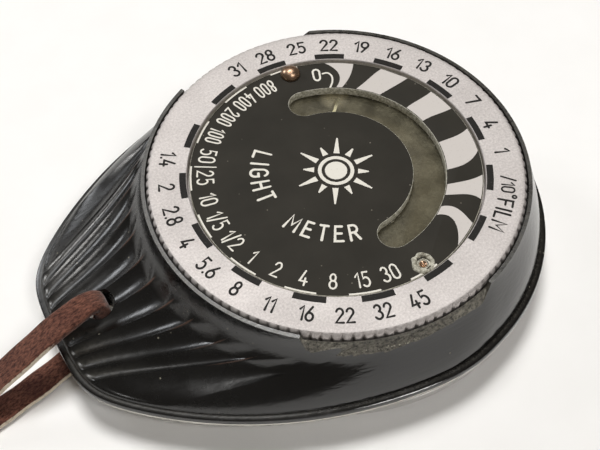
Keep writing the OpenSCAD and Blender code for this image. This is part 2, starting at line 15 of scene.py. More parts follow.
import bmesh
import bpy
import numpy as np
from mathutils import Matrix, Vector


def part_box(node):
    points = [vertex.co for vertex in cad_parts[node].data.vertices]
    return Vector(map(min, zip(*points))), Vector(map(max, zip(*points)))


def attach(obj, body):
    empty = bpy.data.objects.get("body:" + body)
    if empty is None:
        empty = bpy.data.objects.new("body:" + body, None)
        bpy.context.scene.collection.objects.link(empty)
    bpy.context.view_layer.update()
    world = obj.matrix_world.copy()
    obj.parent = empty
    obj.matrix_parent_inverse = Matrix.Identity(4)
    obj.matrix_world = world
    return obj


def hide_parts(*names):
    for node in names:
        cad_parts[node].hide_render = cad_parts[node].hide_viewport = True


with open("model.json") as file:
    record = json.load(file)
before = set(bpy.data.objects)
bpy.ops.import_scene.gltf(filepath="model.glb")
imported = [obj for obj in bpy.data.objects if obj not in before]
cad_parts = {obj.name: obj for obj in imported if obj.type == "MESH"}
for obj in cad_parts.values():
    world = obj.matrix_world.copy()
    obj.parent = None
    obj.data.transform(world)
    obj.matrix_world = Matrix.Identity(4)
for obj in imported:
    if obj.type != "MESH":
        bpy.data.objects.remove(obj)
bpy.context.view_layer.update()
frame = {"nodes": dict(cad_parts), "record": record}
MM = 0.001
TAU = 2 * np.pi


def corner(node, which, axis):
    """Lowest (which 0) or highest (which 1) coordinate of a CAD node along an axis, in mm."""
    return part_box(node)[which][axis] / MM


ring_top = corner("calculator_ring", 1, 2)
ring_r = corner("calculator_ring", 1, 1)
dial_top = corner("dial_plate", 1, 2)
dial_r = corner("dial_plate", 1, 1)
print(f"ring {ring_r:.2f} mm at {ring_top:.2f} mm, dial {dial_r:.2f} mm at {dial_top:.2f} mm")

# %% [markdown]
# ## Camera
#
# The meter is seen from above and from the side of its tail, with a moderate telephoto lens.
# The camera looks along a line given by an azimuth and an elevation. The three axes of the
# camera are worked out from them, and the small roll turns the first two.

# %% The camera
eye = np.array([-46.187, -79.1, 134.361])
azimuth, elevation, roll = np.radians([-27.2, 55.07, -0.59])
back = np.array([np.sin(azimuth) * np.cos(elevation), -np.cos(azimuth) * np.cos(elevation),
                 np.sin(elevation)])
level = np.array([np.cos(azimuth), np.sin(azimuth), 0])
up = np.cross(back, level)
right = level * np.cos(roll) + up * np.sin(roll)
camera = bpy.data.objects.new("camera", bpy.data.cameras.new("camera"))
bpy.context.scene.collection.objects.link(camera)
bpy.context.scene.camera = camera
pose = np.eye(4)
pose[:3, :3] = np.stack([right, np.cross(back, right), back], axis=1)
pose[:3, 3] = eye * MM
camera.matrix_world = Matrix(pose.tolist())
camera.data.sensor_width = 36
camera.data.lens = 66.67
camera.data.clip_start = 0.01
print("camera", np.round(eye, 1), "mm")

# %% [markdown]
# ## Shared tools
#
# Nearly every surface here is a grid: a shape worked out as a whole array of points, whose rows
# and columns may close on themselves. One function turns a grid into faces, and another joins
# such parts into one piece with its material. Materials are built with one function that adds a
# node, and colours are written as they look on a screen and turned into linear light.

# %% Grids and pieces
def grid_part(grid, close_rows=False, close_columns=False, caps=False):
    """Points and faces of a grid of shape (rows, columns, 3). The face at row i and column j
    joins the points (i, j), (i, j + 1), (i + 1, j + 1) and (i + 1, j), counted round where the
    grid closes. Caps close the first and the last row of a tube."""
    rows, columns = grid.shape[:2]
    i = np.arange(rows if close_rows else rows - 1)[:, None]
    j = np.arange(columns if close_columns else columns - 1)[None, :]
    i_next, j_next = (i + 1) % rows, (j + 1) % columns
    corners = (i * columns + j, i * columns + j_next, i_next * columns + j_next,
               i_next * columns + j)
    faces = np.stack(np.broadcast_arrays(*corners), -1).reshape(-1, 4).tolist()
    if caps:
        faces += [list(range(columns))[::-1], list(range((rows - 1) * columns, rows * columns))]
    return grid.reshape(-1, 3), faces


def make_piece(name, parts, material, body, crease=35, values=None):
    """One mesh piece from parts of points in mm and faces. Its faces are turned outwards, and
    edges sharper than crease degrees stay sharp. values gives a number or vector to each point."""
    points, faces, count = [], [], 0
    for part_points, part_faces in parts:
        points.append(part_points)
        faces += [[k + count for k in face] for face in part_faces]
        count += len(part_points)
    mesh = bpy.data.meshes.new(name)
    mesh.from_pydata((np.concatenate(points) * MM).tolist(), [], faces)
    for key, numbers in (values or {}).items():
        vector = numbers.ndim > 1
        layer = mesh.attributes.new(key, "FLOAT_VECTOR" if vector else "FLOAT", "POINT")
        layer.data.foreach_set("vector" if vector else "value", numbers.astype(np.float32).ravel())
    turn_outwards(mesh)
    mesh.shade_smooth()
    mesh.set_sharp_from_angle(angle=math.radians(crease))
    mesh.materials.append(material)
    piece = bpy.data.objects.new(name, mesh)
    bpy.context.scene.collection.objects.link(piece)
    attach(piece, body)
    print(f"{name}: {len(mesh.polygons)} faces on {body}")
    return piece


def turn_outwards(mesh):
    """Recalculates the normals of closed shells, so that every face points away from the solid."""
    shape = bmesh.new()
    shape.from_mesh(mesh)
    bmesh.ops.recalc_face_normals(shape, faces=shape.faces)
    shape.to_mesh(mesh)
    shape.free()


def revolve(profile, columns=180):
    """Grid of a closed profile of (radius, height) points carried once round the Z axis."""
    profile = np.asarray(profile, float)
    turn = np.arange(columns) / columns * TAU
    radius, height = profile[:, :1], profile[:, 1:]
    return np.stack([radius * np.cos(turn), radius * np.sin(turn),
                     np.broadcast_to(height, (len(profile), columns))], -1)


def ease(x):
    """Smooth step: 0 below 0, 1 above 1, and 3x^2 - 2x^3 between."""
    x = np.clip(x, 0, 1)
    return x * x * (3 - 2 * x)


def ripple(x, y, size, seed):
    """Smooth noise from -1 to 1: the mean of seven sine waves of about size mm, each with its
    own direction, length and phase."""
    draw = np.random.default_rng(seed)
    turn, phase = draw.uniform(0, TAU, 7), draw.uniform(0, TAU, 7)
    stretch = draw.uniform(0.7, 1.6, 7)
    waves = [np.sin(TAU * s * (x * np.cos(t) + y * np.sin(t)) / size + p)
             for t, p, s in zip(turn, phase, stretch)]
    return sum(waves) / 3.5


# %% Colours, nodes and materials
def srgb(text):
    """Linear RGBA of an sRGB hex colour: small values are divided by 12.92, the others follow a
    power of 2.4."""
    value = np.array([int(text[k:k + 2], 16) for k in (1, 3, 5)]) / 255
    linear = np.where(value <= 0.04045, value / 12.92, ((value + 0.055) / 1.055) ** 2.4)
    return (*linear.tolist(), 1.0)


def add(tree, kind, inputs=None, **settings):
    """Adds a shader node. settings are its own choices, and inputs its sockets by name or number,
    each with a value or with the socket that feeds it."""
    node = tree.nodes.new("ShaderNode" + kind)
    for name, value in settings.items():
        setattr(node, name, value)
    for name, value in (inputs or {}).items():
        if isinstance(value, bpy.types.NodeSocket):
            tree.links.new(value, node.inputs[name])
        else:
            node.inputs[name].default_value = value
    return node


def new_material(name, colour, constants):
    """A material with a Principled shader, its base colour and its constant sockets. Returns it
    with its node tree, its shader and the socket of Object coordinates."""
    material = bpy.data.materials.new(name)
    material.use_nodes = True
    tree = material.node_tree
    shader = tree.nodes["Principled BSDF"]
    shader.inputs["Base Color"].default_value = srgb(colour)
    for socket, value in constants.items():
        shader.inputs[socket].default_value = value
    return material, tree, shader, add(tree, "TexCoord").outputs["Object"]


def every(size):
    """Scale of a pattern on Object coordinates whose features are size mm apart."""
    return 1 / (size * MM)


def specks(tree, at, size, core_r, share_bare):
    """Single specks: the cores of cells size mm apart, up to core_r of a cell wide. Each cell has
    a number of its own, and only those above share_bare get a speck, of uneven strength."""
    cell = add(tree, "TexVoronoi", {"Vector": at, "Scale": every(size)})
    core = add(tree, "MapRange", {"Value": cell.outputs["Distance"], "From Min": 0.05,
                                  "From Max": core_r, "To Min": 1.0, "To Max": 0.0})
    own = add(tree, "SeparateColor", {"Color": cell.outputs["Color"]})
    few = add(tree, "Math", {0: own.outputs["Red"], 1: share_bare}, operation="GREATER_THAN")
    speck = add(tree, "Math", {0: core.outputs["Result"], 1: few.outputs[0]}, operation="MULTIPLY")
    faint = add(tree, "Math", {0: speck.outputs[0], 1: own.outputs["Green"]}, operation="MULTIPLY")
    return faint.outputs[0]


# %% [markdown]
# ## The lace
#
# A wrist lace is a flat strip of suede, cut with a knife, so its faces are napped and its edges
# pale. It comes up out of the hole in the tail, falls over the tail's end and makes a loop on the
# table. A cord modifier could give the strip, but a section carried along a smooth line keeps its
# width level and lets the edges have their own colour. The section is a superellipse: its sides
# are flat and its corners are small.

# %% Suede
# Suede leather, napped on both faces and cut with a knife: dull, with a short pile that catches
# light from the side. The nap is under 0.1 mm, drawn at 0.35 mm so that it shows.
suede, tree, shader, _ = new_material("suede_leather", "#6A4034", {
    "Roughness": 0.95, "Specular IOR Level": 0.15, "Sheen Weight": 0.2, "Sheen Roughness": 0.5})
strip = add(tree, "Attribute", attribute_name="strip").outputs["Vector"]
fibres = add(tree, "Mapping", {"Vector": strip, "Scale": (1, 0.45, 1)})
nap = add(tree, "TexNoise", {"Vector": fibres.outputs["Vector"], "Scale": 3.4, "Detail": 5.0,
                             "Roughness": 0.75})
stain = add(tree, "TexNoise", {"Vector": strip, "Scale": 0.22, "Detail": 2.0})
dark = add(tree, "MapRange", {"Value": nap.outputs["Fac"], "From Min": 0.36, "From Max": 0.64})
napped = add(tree, "Mix", {0: dark.outputs["Result"], 6: srgb("#301A14"), 7: srgb("#815546")},
             data_type="RGBA")
soiled = add(tree, "MapRange", {"Value": stain.outputs["Fac"], "From Min": 0.45, "From Max": 0.8,
                                "To Max": 0.55})
shaded = add(tree, "Mix", {0: soiled.outputs["Result"], 6: napped.outputs[2], 7: srgb("#3A1D1B")},
             data_type="RGBA")
edge = add(tree, "Attribute", attribute_name="cut_edge").outputs["Fac"]
ragged = add(tree, "Math", {0: edge, 1: nap.outputs["Fac"]}, operation="ADD")
pale = add(tree, "MapRange", {"Value": ragged.outputs[0], "From Min": 1.2, "From Max": 1.45})
strip_colour = add(tree, "Mix", {0: pale.outputs["Result"], 6: shaded.outputs[2],
                                 7: srgb("#D9CBB6")}, data_type="RGBA")
tree.links.new(strip_colour.outputs[2], shader.inputs["Base Color"])
pile = add(tree, "Bump", {"Strength": 0.7, "Distance": 0.2 * MM, "Height": nap.outputs["Fac"]})
tree.links.new(pile.outputs["Normal"], shader.inputs["Normal"])
print("material", suede.name)

# %% The lace's line
# The same points as the CAD solid's, in metres: up out of the hole, over the end of the tail,
# down to the table, round the loop and back under the tail into the hole.
lace_route = [
    (-0.0353, 0, 0.0066), (-0.0353, 0, 0.0084), (-0.0358, 0, 0.0098), (-0.0372, -0.0003, 0.0104),
    (-0.0396, -0.0007, 0.0099), (-0.042, -0.001, 0.0092), (-0.045, -0.0014, 0.0079),
    (-0.05, -0.002, 0.0056), (-0.056, -0.0024, 0.003), (-0.063, -0.0015, 0.001),
    (-0.072, 0.0015, 0.0006), (-0.084, 0.0065, 0.0006), (-0.097, 0.0115, 0.0006),
    (-0.11, 0.0145, 0.0006), (-0.123, 0.014, 0.0006), (-0.134, 0.009, 0.0006),
    (-0.1395, 0, 0.0006), (-0.138, -0.01, 0.0006), (-0.13, -0.0175, 0.0006),
    (-0.118, -0.0205, 0.0006), (-0.105, -0.0195, 0.0006), (-0.092, -0.0155, 0.0006),
    (-0.079, -0.011, 0.0006), (-0.067, -0.0075, 0.0006), (-0.056, -0.005, 0.0006),
    (-0.048, -0.0032, 0.0007), (-0.042, -0.0016, 0.001), (-0.038, -0.0006, 0.0018),
    (-0.0359, -0.0001, 0.0032), (-0.0353, 0, 0.0048), (-0.0353, 0, 0.006)]
lace_width, lace_thick, lace_length = 3.8, 1.1, 0.24


def smooth_line(points, steps):
    """Catmull-Rom curve: between two points p1 and p2 it is the cubic that passes through both
    and is parallel there to the lines that join their neighbours."""
    p = np.asarray(points, float)
    i = np.arange(len(p) - 1)
    p0, p1, p2, p3 = p[np.maximum(i - 1, 0)], p[i], p[i + 1], p[np.minimum(i + 2, len(p) - 1)]
    t = (np.arange(steps) / steps)[None, :, None]
    p0, p1, p2, p3 = (q[:, None, :] for q in (p0, p1, p2, p3))
    curve = 0.5 * (2 * p1 + (p2 - p0) * t + (2 * p0 - 5 * p1 + 4 * p2 - p3) * t ** 2
                   + (3 * p1 - 3 * p2 + p3 - p0) * t ** 3)
    return np.vstack([curve.reshape(-1, 3), p[-1:]])


def strip_along(line, width, thick, around=20):
    """Grid of a flat strip. Each ring is a superellipse of power 5 in the plane across the line:
    its first axis is level and square to the line, and its second is square to both. The two
    ends are sewn on each other in the hole, so the strip is two layers thick there."""
    ahead = np.gradient(line, axis=0)
    ahead /= np.linalg.norm(ahead, axis=1, keepdims=True)
    side = np.stack([-ahead[:, 1], ahead[:, 0], 0 * ahead[:, 0]], -1)
    flat = np.linalg.norm(side, axis=1, keepdims=True)
    side = np.where(flat < 0.25, [[0.0, -1.0, 0.0]], side / np.maximum(flat, 0.25))
    side /= np.linalg.norm(side, axis=1, keepdims=True)
    turns = np.sign(np.sum(side[1:] * side[:-1], axis=1))
    side[1:] *= np.cumprod(np.where(turns == 0, 1, turns))[:, None]
    face = np.cross(side, ahead)
    angle = (np.arange(around) + 0.5) / around * TAU
    across = np.sign(np.cos(angle)) * np.abs(np.cos(angle)) ** 0.4 * width / 2
    out = np.sign(np.sin(angle)) * np.abs(np.sin(angle)) ** 0.4 * thick / 2
    travel = np.concatenate([[0], np.cumsum(np.linalg.norm(np.diff(line, axis=0), axis=1))])
    waver = 1 + 0.03 * ripple(travel, 0 * travel, 6, 3)[:, None, None]
    from_seam = np.minimum(travel, travel[-1] - travel)[:, None, None]
    waver *= 0.86 + 0.14 * ease((from_seam - 3) / 5)
    layers = 2 - ease((from_seam - 2.2) / 2)
    grid = (line[:, None, :] + side[:, None, :] * across[:, None] * waver
            + face[:, None, :] * out[:, None] * layers)
    shape = grid.shape[:2]
    strip = np.stack([np.broadcast_to(across, shape), np.broadcast_to(travel[:, None], shape),
                      np.broadcast_to(out, shape)], -1)
    return grid, strip


lace_line = smooth_line(lace_route, 6) / MM
lace_grid, lace_strip = strip_along(lace_line, lace_width, lace_thick)
lace_grid[..., 2] = np.maximum(lace_grid[..., 2], 0.03)
at_edge = ease((np.abs(lace_strip[..., 0]) / (lace_width / 2) - 0.88) / 0.1)
at_edge *= ease((lace_strip[..., 1] - 7) / 6)
lace = make_piece("suede_lace", [grid_part(lace_grid, close_columns=True, caps=True)], suede,
                  "case", crease=60,
                  values={"strip": lace_strip.reshape(-1, 3), "cut_edge": at_edge.ravel()})
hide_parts("lace")

# %% [markdown]
# ## The moulded case
#
# The case is one moulding of phenolic resin. Its rim is a round head joined to a blunt tail by
# two long arcs. Lines fan out from the collar round the dial to the rim, and on the tail they
# are the crests between eleven hollow flutes. The whole skin could be sculpted, but the mould was
# drawn with rules, so rules give it best: one parameter counts the lines of the fan, the other
# runs up the wall along a Bezier curve. The same grid goes on over the collar, down the ring's
# well, and round the inside, so that the case is one closed solid.

# %% The outline
head_r, tail_len, flank_r = 29.7, 42.4, 59.8
rim_z, wall_z, collar_z = 5.2, 6.6, 16.2
collar_r, well_r, hub_r, hub_open_r, cavity_r = 26.2, 25.7, 19.3, 16.9, 26.0
well_z, hub_z, cavity_z = 13.6, 14.8, 11.9
bead_in = 0.9
crests = np.array([-72, -50, -35.8, -23.5, -14.3, -4.3, 4.3, 14.3, 23.5, 35.8, 50, 72])
fan_collar = [0, 4.3, 14.3, 23.5, 35.8, 50, 60, 72, 84, 97, 112, 135, 180]
fan_rim = [0, 1.5, 4.3, 6.8, 9.5, 12.3, 17, 27, 45, 72, 100, 131, 180]


def blend(a, b, share):
    """a at share 0 and b at share 1, in proportion between."""
    return a + (b - a) * share


def outline(angle):
    """Radius of the rim at an angle in degrees from the tail. The head is a circle. The flanks
    are arcs of flank_r that run into it about 95 degrees from the tail: a ray from the centre
    meets such an arc at b + sqrt(flank_r^2 - off^2 + b^2), where b is how far along the ray the
    arc's centre lies. The blunt end is a straight line, blended in by a power of 30."""
    angle = np.abs(angle)
    off = flank_r - head_r
    along = off * np.cos(np.radians(95)) * np.cos(np.radians(angle)) \
        - off * np.sin(np.radians(95)) * np.sin(np.radians(angle))
    flank = along + np.sqrt(flank_r ** 2 - off ** 2 + along ** 2)
    side = blend(flank, head_r, ease((angle - 80) / 30))
    end = tail_len / np.cos(np.radians(np.minimum(angle, 70)))
    return np.where(angle > 70, side, side * (1 + (side / end) ** 30) ** (-1 / 30))


def from_tail(radius, angle):
    """The point (x, y) at a radius and an angle in degrees from the tail's centre line."""
    return np.stack([-radius * np.cos(np.radians(angle)), -radius * np.sin(np.radians(angle))], -1)


def bezier(t, a, b, c, d):
    """Cubic Bezier curve through a and d, drawn towards b and c."""
    u = 1 - t
    return u ** 3 * a + 3 * u * u * t * b + 3 * u * t * t * c + t ** 3 * d


print("rim:", outline(np.array([0, 12, 45, 95, 180])).round(1), "mm from the axis")

# %% The wall and its flutes
flute_deep, flute_end_r, flute_arch = 0.8, 28.5, 1.3


def across_flute(angle):
    """Place across the flute that holds an angle: 0 in its middle, -1 and 1 at its crests, and 1
    where there is no flute."""
    k = np.clip(np.searchsorted(crests, angle, side="right") - 1, 0, len(crests) - 2)
    place = 2 * (angle - crests[k]) / (crests[k + 1] - crests[k]) - 1
    return np.where(np.abs(angle) >= crests[-1], 1.0, np.clip(place, -1, 1))


def toward_tail(angle):
    """1 on the lines near the tail, 0 on those round the head, and a smooth step between."""
    return 1 - ease((np.abs(angle) - 40) / 75)


def wall_height(angle, t):
    """Height of the wall on one line of the fan, before a flute is cut in it."""
    tail = toward_tail(angle)
    return bezier(t, wall_z, blend(9.8, 9, tail), blend(13.5, 8.6, tail), collar_z)


def wall(angle, t):
    """Point of the wall on one line of the fan, with t from 0 at the rim to 1 at the collar. The
    plan runs straight from the collar's point to the rim's, and both the share of the way and
    the height are Bezier curves, whose middle points change from the tail to the head. A flute
    lowers the height by a parabola across it, and runs out in an arch short of the collar."""
    foot = np.interp(np.abs(angle), fan_collar, fan_rim) * np.sign(angle)
    tail = toward_tail(angle)
    share = bezier(t, 1, blend(0.85, 0.93, tail), blend(0.3, 0.026, tail), 0)
    top = from_tail(collar_r, angle)
    plan = top + share[..., None] * (from_tail(outline(foot) - bead_in, foot) - top)
    radius = np.linalg.norm(plan, axis=-1)
    across = across_flute(angle)
    full = blend(flute_deep, 0.45 * flute_deep, share) * ease((1 - share) / 0.05)
    cut = np.maximum(0, full * (1 - across ** 2)
                     - np.maximum(0, full * (flute_end_r - radius) / flute_arch))
    return np.concatenate([plan, (wall_height(angle, t) - cut)[..., None]], -1)


flute_lines = [np.linspace(a, b, 30 if b - a > 20 else 16, endpoint=False)
               for a, b in zip(crests[:-1], crests[1:])]
gap_ends, gap_edge = [109.0, 250.0], 0.04
plain_lines = np.concatenate([np.arange(72, 288, 0.7), np.array(gap_ends) - gap_edge,
                              np.array(gap_ends) + gap_edge])
lines = np.sort(np.concatenate([*flute_lines, plain_lines]))
lines = np.where(lines > 180, lines - 360, lines)
lines = np.sort(lines)
print(len(lines), "lines in the fan")

# %% [markdown]
# On each side the collar has a gap for a finger, where the ring's knurl can be reached. The
# floor of the near gap has broken away unevenly, and the break runs on along the collar. The top
# of each line is therefore cut at its own height: the full collar, the gap's floor or the break's
# edge. The break is rough like broken resin, so small ripples are added to it.

# %% The collar, its gaps and the break
broken_at = [51.6, 53.3, 55.2, 57.1, 59.2, 61.1, 63.1, 65, 66.6, 67.2, 68.3, 72, 78, 86, 92, 97,
             102, 108.98]
low_wall_z, break_inner_z = 12.7, 15.25
broken_z = [16.2, 15.0, 14.4, 14.0, 13.6, 14.2, 14.7, 14.8, 14.4, 13.7, 13.4, 13.15, 13.15,
            13.05, 13.5, 13.8, 14.2, 14.2]


def collar_cut(angle):
    """Height at which the collar ends on each line of the fan."""
    near = np.interp(angle, broken_at, broken_z)
    in_near = (angle > broken_at[0]) & (angle < gap_ends[0])
    in_far = (angle > gap_ends[1] - 360) & (angle < -62)
    x, y = from_tail(collar_r, angle).T
    rough = 0.12 * ripple(x, y, 1.6, 5) + 0.06 * ripple(x, y, 0.6, 6)
    top = np.where(in_near, near + rough, collar_z)
    top = np.where(in_far, well_z - 0.1 + 0.4 * rough, top)
    return np.minimum(top, collar_z), in_near | in_far


def line_end(angle, top):
    """The t at which each line reaches its top height, found by halving the range 24 times."""
    lowest, highest = np.zeros_like(angle), np.ones_like(angle)
    for _ in range(24):
        middle = (lowest + highest) / 2
        height = wall_height(angle, middle)
        lowest = np.where(height < top, middle, lowest)
        highest = np.where(height < top, highest, middle)
    return highest


def circle_row(radius, height):
    """One row of the case at a radius and a height, which may differ from line to line."""
    plan = from_tail(radius * np.ones_like(lines), lines)
    return np.concatenate([plan, (height * np.ones_like(lines))[:, None]], -1)


cut_z, in_gap = collar_cut(lines)
ends = line_end(lines, cut_z)
foot = np.interp(np.abs(lines), fan_collar, fan_rim) * np.sign(lines)
bead = [(0.35, 5.2), (0.1, 5.24), (0, 5.4), (0, 5.9), (0.07, 6.1), (0.22, 6.2), (0.6, 6.23),
        (0.8, 6.3)]
rim_rows = [np.concatenate([from_tail(outline(foot) - inset, foot),
                            np.full((len(lines), 1), z)], -1) for inset, z in bead]
low_ends = line_end(lines, np.full_like(lines, low_wall_z))
wall_rows = [wall(lines, low_ends * t) for t in np.linspace(0, 1, 50)[:-1]]
wall_rows += [wall(lines, blend(low_ends, ends, t)) for t in np.linspace(0, 1, 14)]
wall_rows[-1][:, 2] = cut_z
in_break = in_gap & (lines > 0)
inner_z = np.where(in_gap, np.where(in_break, break_inner_z, well_z + 0.04), cut_z)
inner = circle_row(well_r, inner_z)
ledge_rows = []
for share in (0.08, 0.3, 0.55, 0.8, 0.94):
    row = blend(wall_rows[-1], inner, share)
    swell = 0.16 * np.sin(np.pi * share) * ripple(row[:, 0], row[:, 1], 0.8, 8)
    rounding = 0.05 if 0.1 < share < 0.9 else 0.03
    row[:, 2] = np.where(in_gap, row[:, 2] + swell, row[:, 2] + rounding)
    ledge_rows.append(np.minimum(row, [99, 99, collar_z]))
inner_rows = [inner, circle_row(well_r, well_z), circle_row(hub_r, well_z), circle_row(hub_r, hub_z),
              circle_row(hub_open_r, hub_z), circle_row(hub_open_r, cavity_z),
              circle_row(cavity_r, cavity_z), circle_row(cavity_r, rim_z)]
case_grid = np.stack([*rim_rows, *wall_rows, *ledge_rows, *inner_rows])
print("case grid", case_grid.shape)

# %% [markdown]
# ### Phenolic resin
#
# Bakelite is hard and takes a high polish from the mould. Its index of refraction is about 1.6,
# so it mirrors a little more than plastic does. Seventy years have rubbed the crests brown, where
# the wood flour in the resin shows, and left dust in the corners and on the rough break. The grid
# knows where these places are, so it writes two numbers on its points: wear and dust.

# %% Bakelite
# Moulded phenolic resin, black: glossy, with fine scratches under 0.1 mm drawn at 0.5 mm.
bakelite, tree, shader, at = new_material("bakelite", "#0D0C0B", {
    "IOR": 1.6, "Specular IOR Level": 0.55})
wear = add(tree, "Attribute", attribute_name="wear").outputs["Fac"]
dust = add(tree, "Attribute", attribute_name="dust").outputs["Fac"]
blotch = add(tree, "TexNoise", {"Vector": at, "Scale": every(3.5), "Detail": 6.0, "Roughness": 0.65})
grit = add(tree, "TexNoise", {"Vector": at, "Scale": every(0.4), "Detail": 3.0, "Roughness": 0.7})
rubbed = add(tree, "Math", {0: wear, 1: blotch.outputs["Fac"]}, operation="MULTIPLY")
brown = add(tree, "MapRange", {"Value": rubbed.outputs[0], "From Min": 0.18, "From Max": 0.55,
                               "To Max": 0.75})
body = add(tree, "Mix", {0: brown.outputs["Result"], 6: srgb("#0D0C0B"), 7: srgb("#5E4030")},
           data_type="RGBA")
clotted = add(tree, "MapRange", {"Value": grit.outputs["Fac"], "From Min": 0.3, "From Max": 0.62})
powder = add(tree, "Math", {0: dust, 1: clotted.outputs["Result"]}, operation="MULTIPLY")
dirt = add(tree, "Mix", {0: blotch.outputs["Fac"], 6: srgb("#4A463D"), 7: srgb("#9C978A")},
           data_type="RGBA")
dusty = add(tree, "Mix", {0: powder.outputs[0], 6: body.outputs[2], 7: dirt.outputs[2]},
            data_type="RGBA")
# Specks of dust lie about 2.5 mm apart.
dust_specks = specks(tree, at, 1.6, 0.1, 0.6)
case_colour = add(tree, "Mix", {0: dust_specks, 6: dusty.outputs[2], 7: srgb("#A9A493")},
                  data_type="RGBA")
tree.links.new(case_colour.outputs[2], shader.inputs["Base Color"])
dulled = add(tree, "Math", {0: dust, 1: brown.outputs["Result"]}, operation="MAXIMUM")
polish = add(tree, "MapRange", {"Value": blotch.outputs["Fac"], "From Min": 0.3, "From Max": 0.75,
                                "To Min": 0.08, "To Max": 0.2})
along_case = add(tree, "SeparateXYZ", {0: at})
handled = add(tree, "MapRange", {"Value": along_case.outputs["X"], "From Min": -12 * MM,
                                 "From Max": -26 * MM, "To Max": 0.14})
rubbed_dull = add(tree, "Math", {0: polish.outputs["Result"], 1: handled.outputs["Result"]},
                  operation="ADD")
roughness = add(tree, "Math", {0: dulled.outputs[0], 1: 0.6, 2: rubbed_dull.outputs[0]},
                operation="MULTIPLY_ADD", use_clamp=True)
tree.links.new(roughness.outputs[0], shader.inputs["Roughness"])
hair = add(tree, "Mapping", {"Vector": at, "Rotation": (0.3, 0.2, 0.7), "Scale": (0.12, 1, 1)})
scratch = add(tree, "TexNoise", {"Vector": hair.outputs["Vector"], "Scale": every(0.5),
                                 "Detail": 3.0})
relief = add(tree, "Math", {0: grit.outputs["Fac"], 1: dust, 2: scratch.outputs["Fac"]},
             operation="MULTIPLY_ADD")
scuffed = add(tree, "Bump", {"Strength": 0.22, "Distance": 0.12 * MM, "Height": relief.outputs[0]})
tree.links.new(scuffed.outputs["Normal"], shader.inputs["Normal"])
print("material", bakelite.name)

# %% The case
rows = len(case_grid)
first_wall, first_ledge = len(rim_rows), len(rim_rows) + len(wall_rows)
first_inner = first_ledge + len(ledge_rows)
radius = np.linalg.norm(case_grid[..., :2], axis=-1)
across = across_flute(lines)
on_wall = (np.arange(rows) >= first_wall) & (np.arange(rows) < first_ledge)
crest_line = np.where(np.abs(lines) < 71, np.clip(np.abs(across), 0, 1) ** 14, 0)
near_end = ease((31.5 - radius) / 3) * ease((radius - 27.4) / 0.9)
case_wear = on_wall[:, None] * crest_line * (0.35 + 0.65 * near_end)
case_wear[first_wall - 3:first_wall + 1] = 0.3
collar_rub = ease((case_grid[..., 2] - 15.4) / 0.8) * (on_wall[:, None] * ~in_gap)
case_wear = np.maximum(case_wear, 0.2 * collar_rub)
case_dust = np.zeros_like(case_wear)
case_dust[first_ledge - 1:first_inner + 2] = np.where(in_gap, 1.0, 0.25)
case_dust[first_wall - 2:first_wall] = 0.15
hollow = on_wall[:, None] * (1 - np.abs(across)) * (np.abs(lines) < 50) * ease((radius - 34) / 6)
case_dust = np.maximum(case_dust, 0.18 * hollow)
moulding = make_piece("bakelite_moulding", [grid_part(case_grid, True, True)], bakelite, "case",
                      crease=32,
                      values={"wear": case_wear.ravel(), "dust": case_dust.ravel()})
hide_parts("upper_shell")

# %% The hole for the lace
# The hole is drilled through the tail. A boolean cut does what the drill did.
lace_hole_x, lace_hole_r = -35.3, 2.1
drill_grid = revolve([(lace_hole_r, 3), (lace_hole_r, 14)], 48) + [lace_hole_x, 0, 0]


def drill(piece, grid):
    """Cuts a closed tube out of a piece and keeps the result as its mesh."""
    points, faces = grid_part(grid, close_columns=True, caps=True)
    mesh = bpy.data.meshes.new("drill")
    mesh.from_pydata((points * MM).tolist(), [], faces)
    turn_outwards(mesh)
    tool = bpy.data.objects.new("drill", mesh)
    bpy.context.scene.collection.objects.link(tool)
    step = piece.modifiers.new("hole", "BOOLEAN")
    step.object, step.operation, step.solver = tool, "DIFFERENCE", "EXACT"
    result = piece.evaluated_get(bpy.context.evaluated_depsgraph_get())
    piece.data = bpy.data.meshes.new_from_object(result)
    piece.modifiers.clear()
    bpy.data.objects.remove(tool)
    piece.data.set_sharp_from_angle(angle=math.radians(32))
    print(f"{piece.name}: {len(piece.data.polygons)} faces after drilling")


drill(moulding, drill_grid)

# %% [markdown]
# ## The calculator ring
#
# The ring is turned from aluminium, its rim is cut with 120 straight notches, and the whole is
# anodised. It is a profile carried round the axis, with one addition: on the rows of the rim a
# notch pulls the radius in. The columns are placed so that each notch has a point at its bottom
# and at both its lips, which keeps its edges crisp with only ten columns to a notch.

# %% Anodised aluminium
# Anodised aluminium, etched before it was dyed clear: satin and slightly warm, with a fine grain
# under 0.1 mm that is drawn at 0.3 mm, and grey grime in the notches.
anodised, tree, shader, at = new_material("anodised_aluminium", "#D5D0CE", {"Metallic": 0.85})
grain = add(tree, "TexNoise", {"Vector": at, "Scale": every(0.3), "Detail": 4.0, "Roughness": 0.75})
cloud = add(tree, "TexNoise", {"Vector": at, "Scale": every(6), "Detail": 3.0})
pitted = add(tree, "MapRange", {"Value": grain.outputs["Fac"], "From Min": 0.3, "From Max": 0.7})
satin = add(tree, "Mix", {0: pitted.outputs["Result"], 6: srgb("#B1ABA9"), 7: srgb("#D3CECB")},
            data_type="RGBA")
grime = add(tree, "Attribute", attribute_name="grime").outputs["Fac"]
patchy = add(tree, "Math", {0: grime, 1: cloud.outputs["Fac"]}, operation="MULTIPLY")
packed = add(tree, "MapRange", {"Value": patchy.outputs[0], "From Min": 0.25, "From Max": 0.6,
                                "To Max": 0.85})
ring_colour = add(tree, "Mix", {0: packed.outputs["Result"], 6: satin.outputs[2],
                                7: srgb("#5A5348")}, data_type="RGBA")
tree.links.new(ring_colour.outputs[2], shader.inputs["Base Color"])
rough = add(tree, "MapRange", {"Value": cloud.outputs["Fac"], "From Min": 0.3, "From Max": 0.7,
                               "To Min": 0.62, "To Max": 0.7})
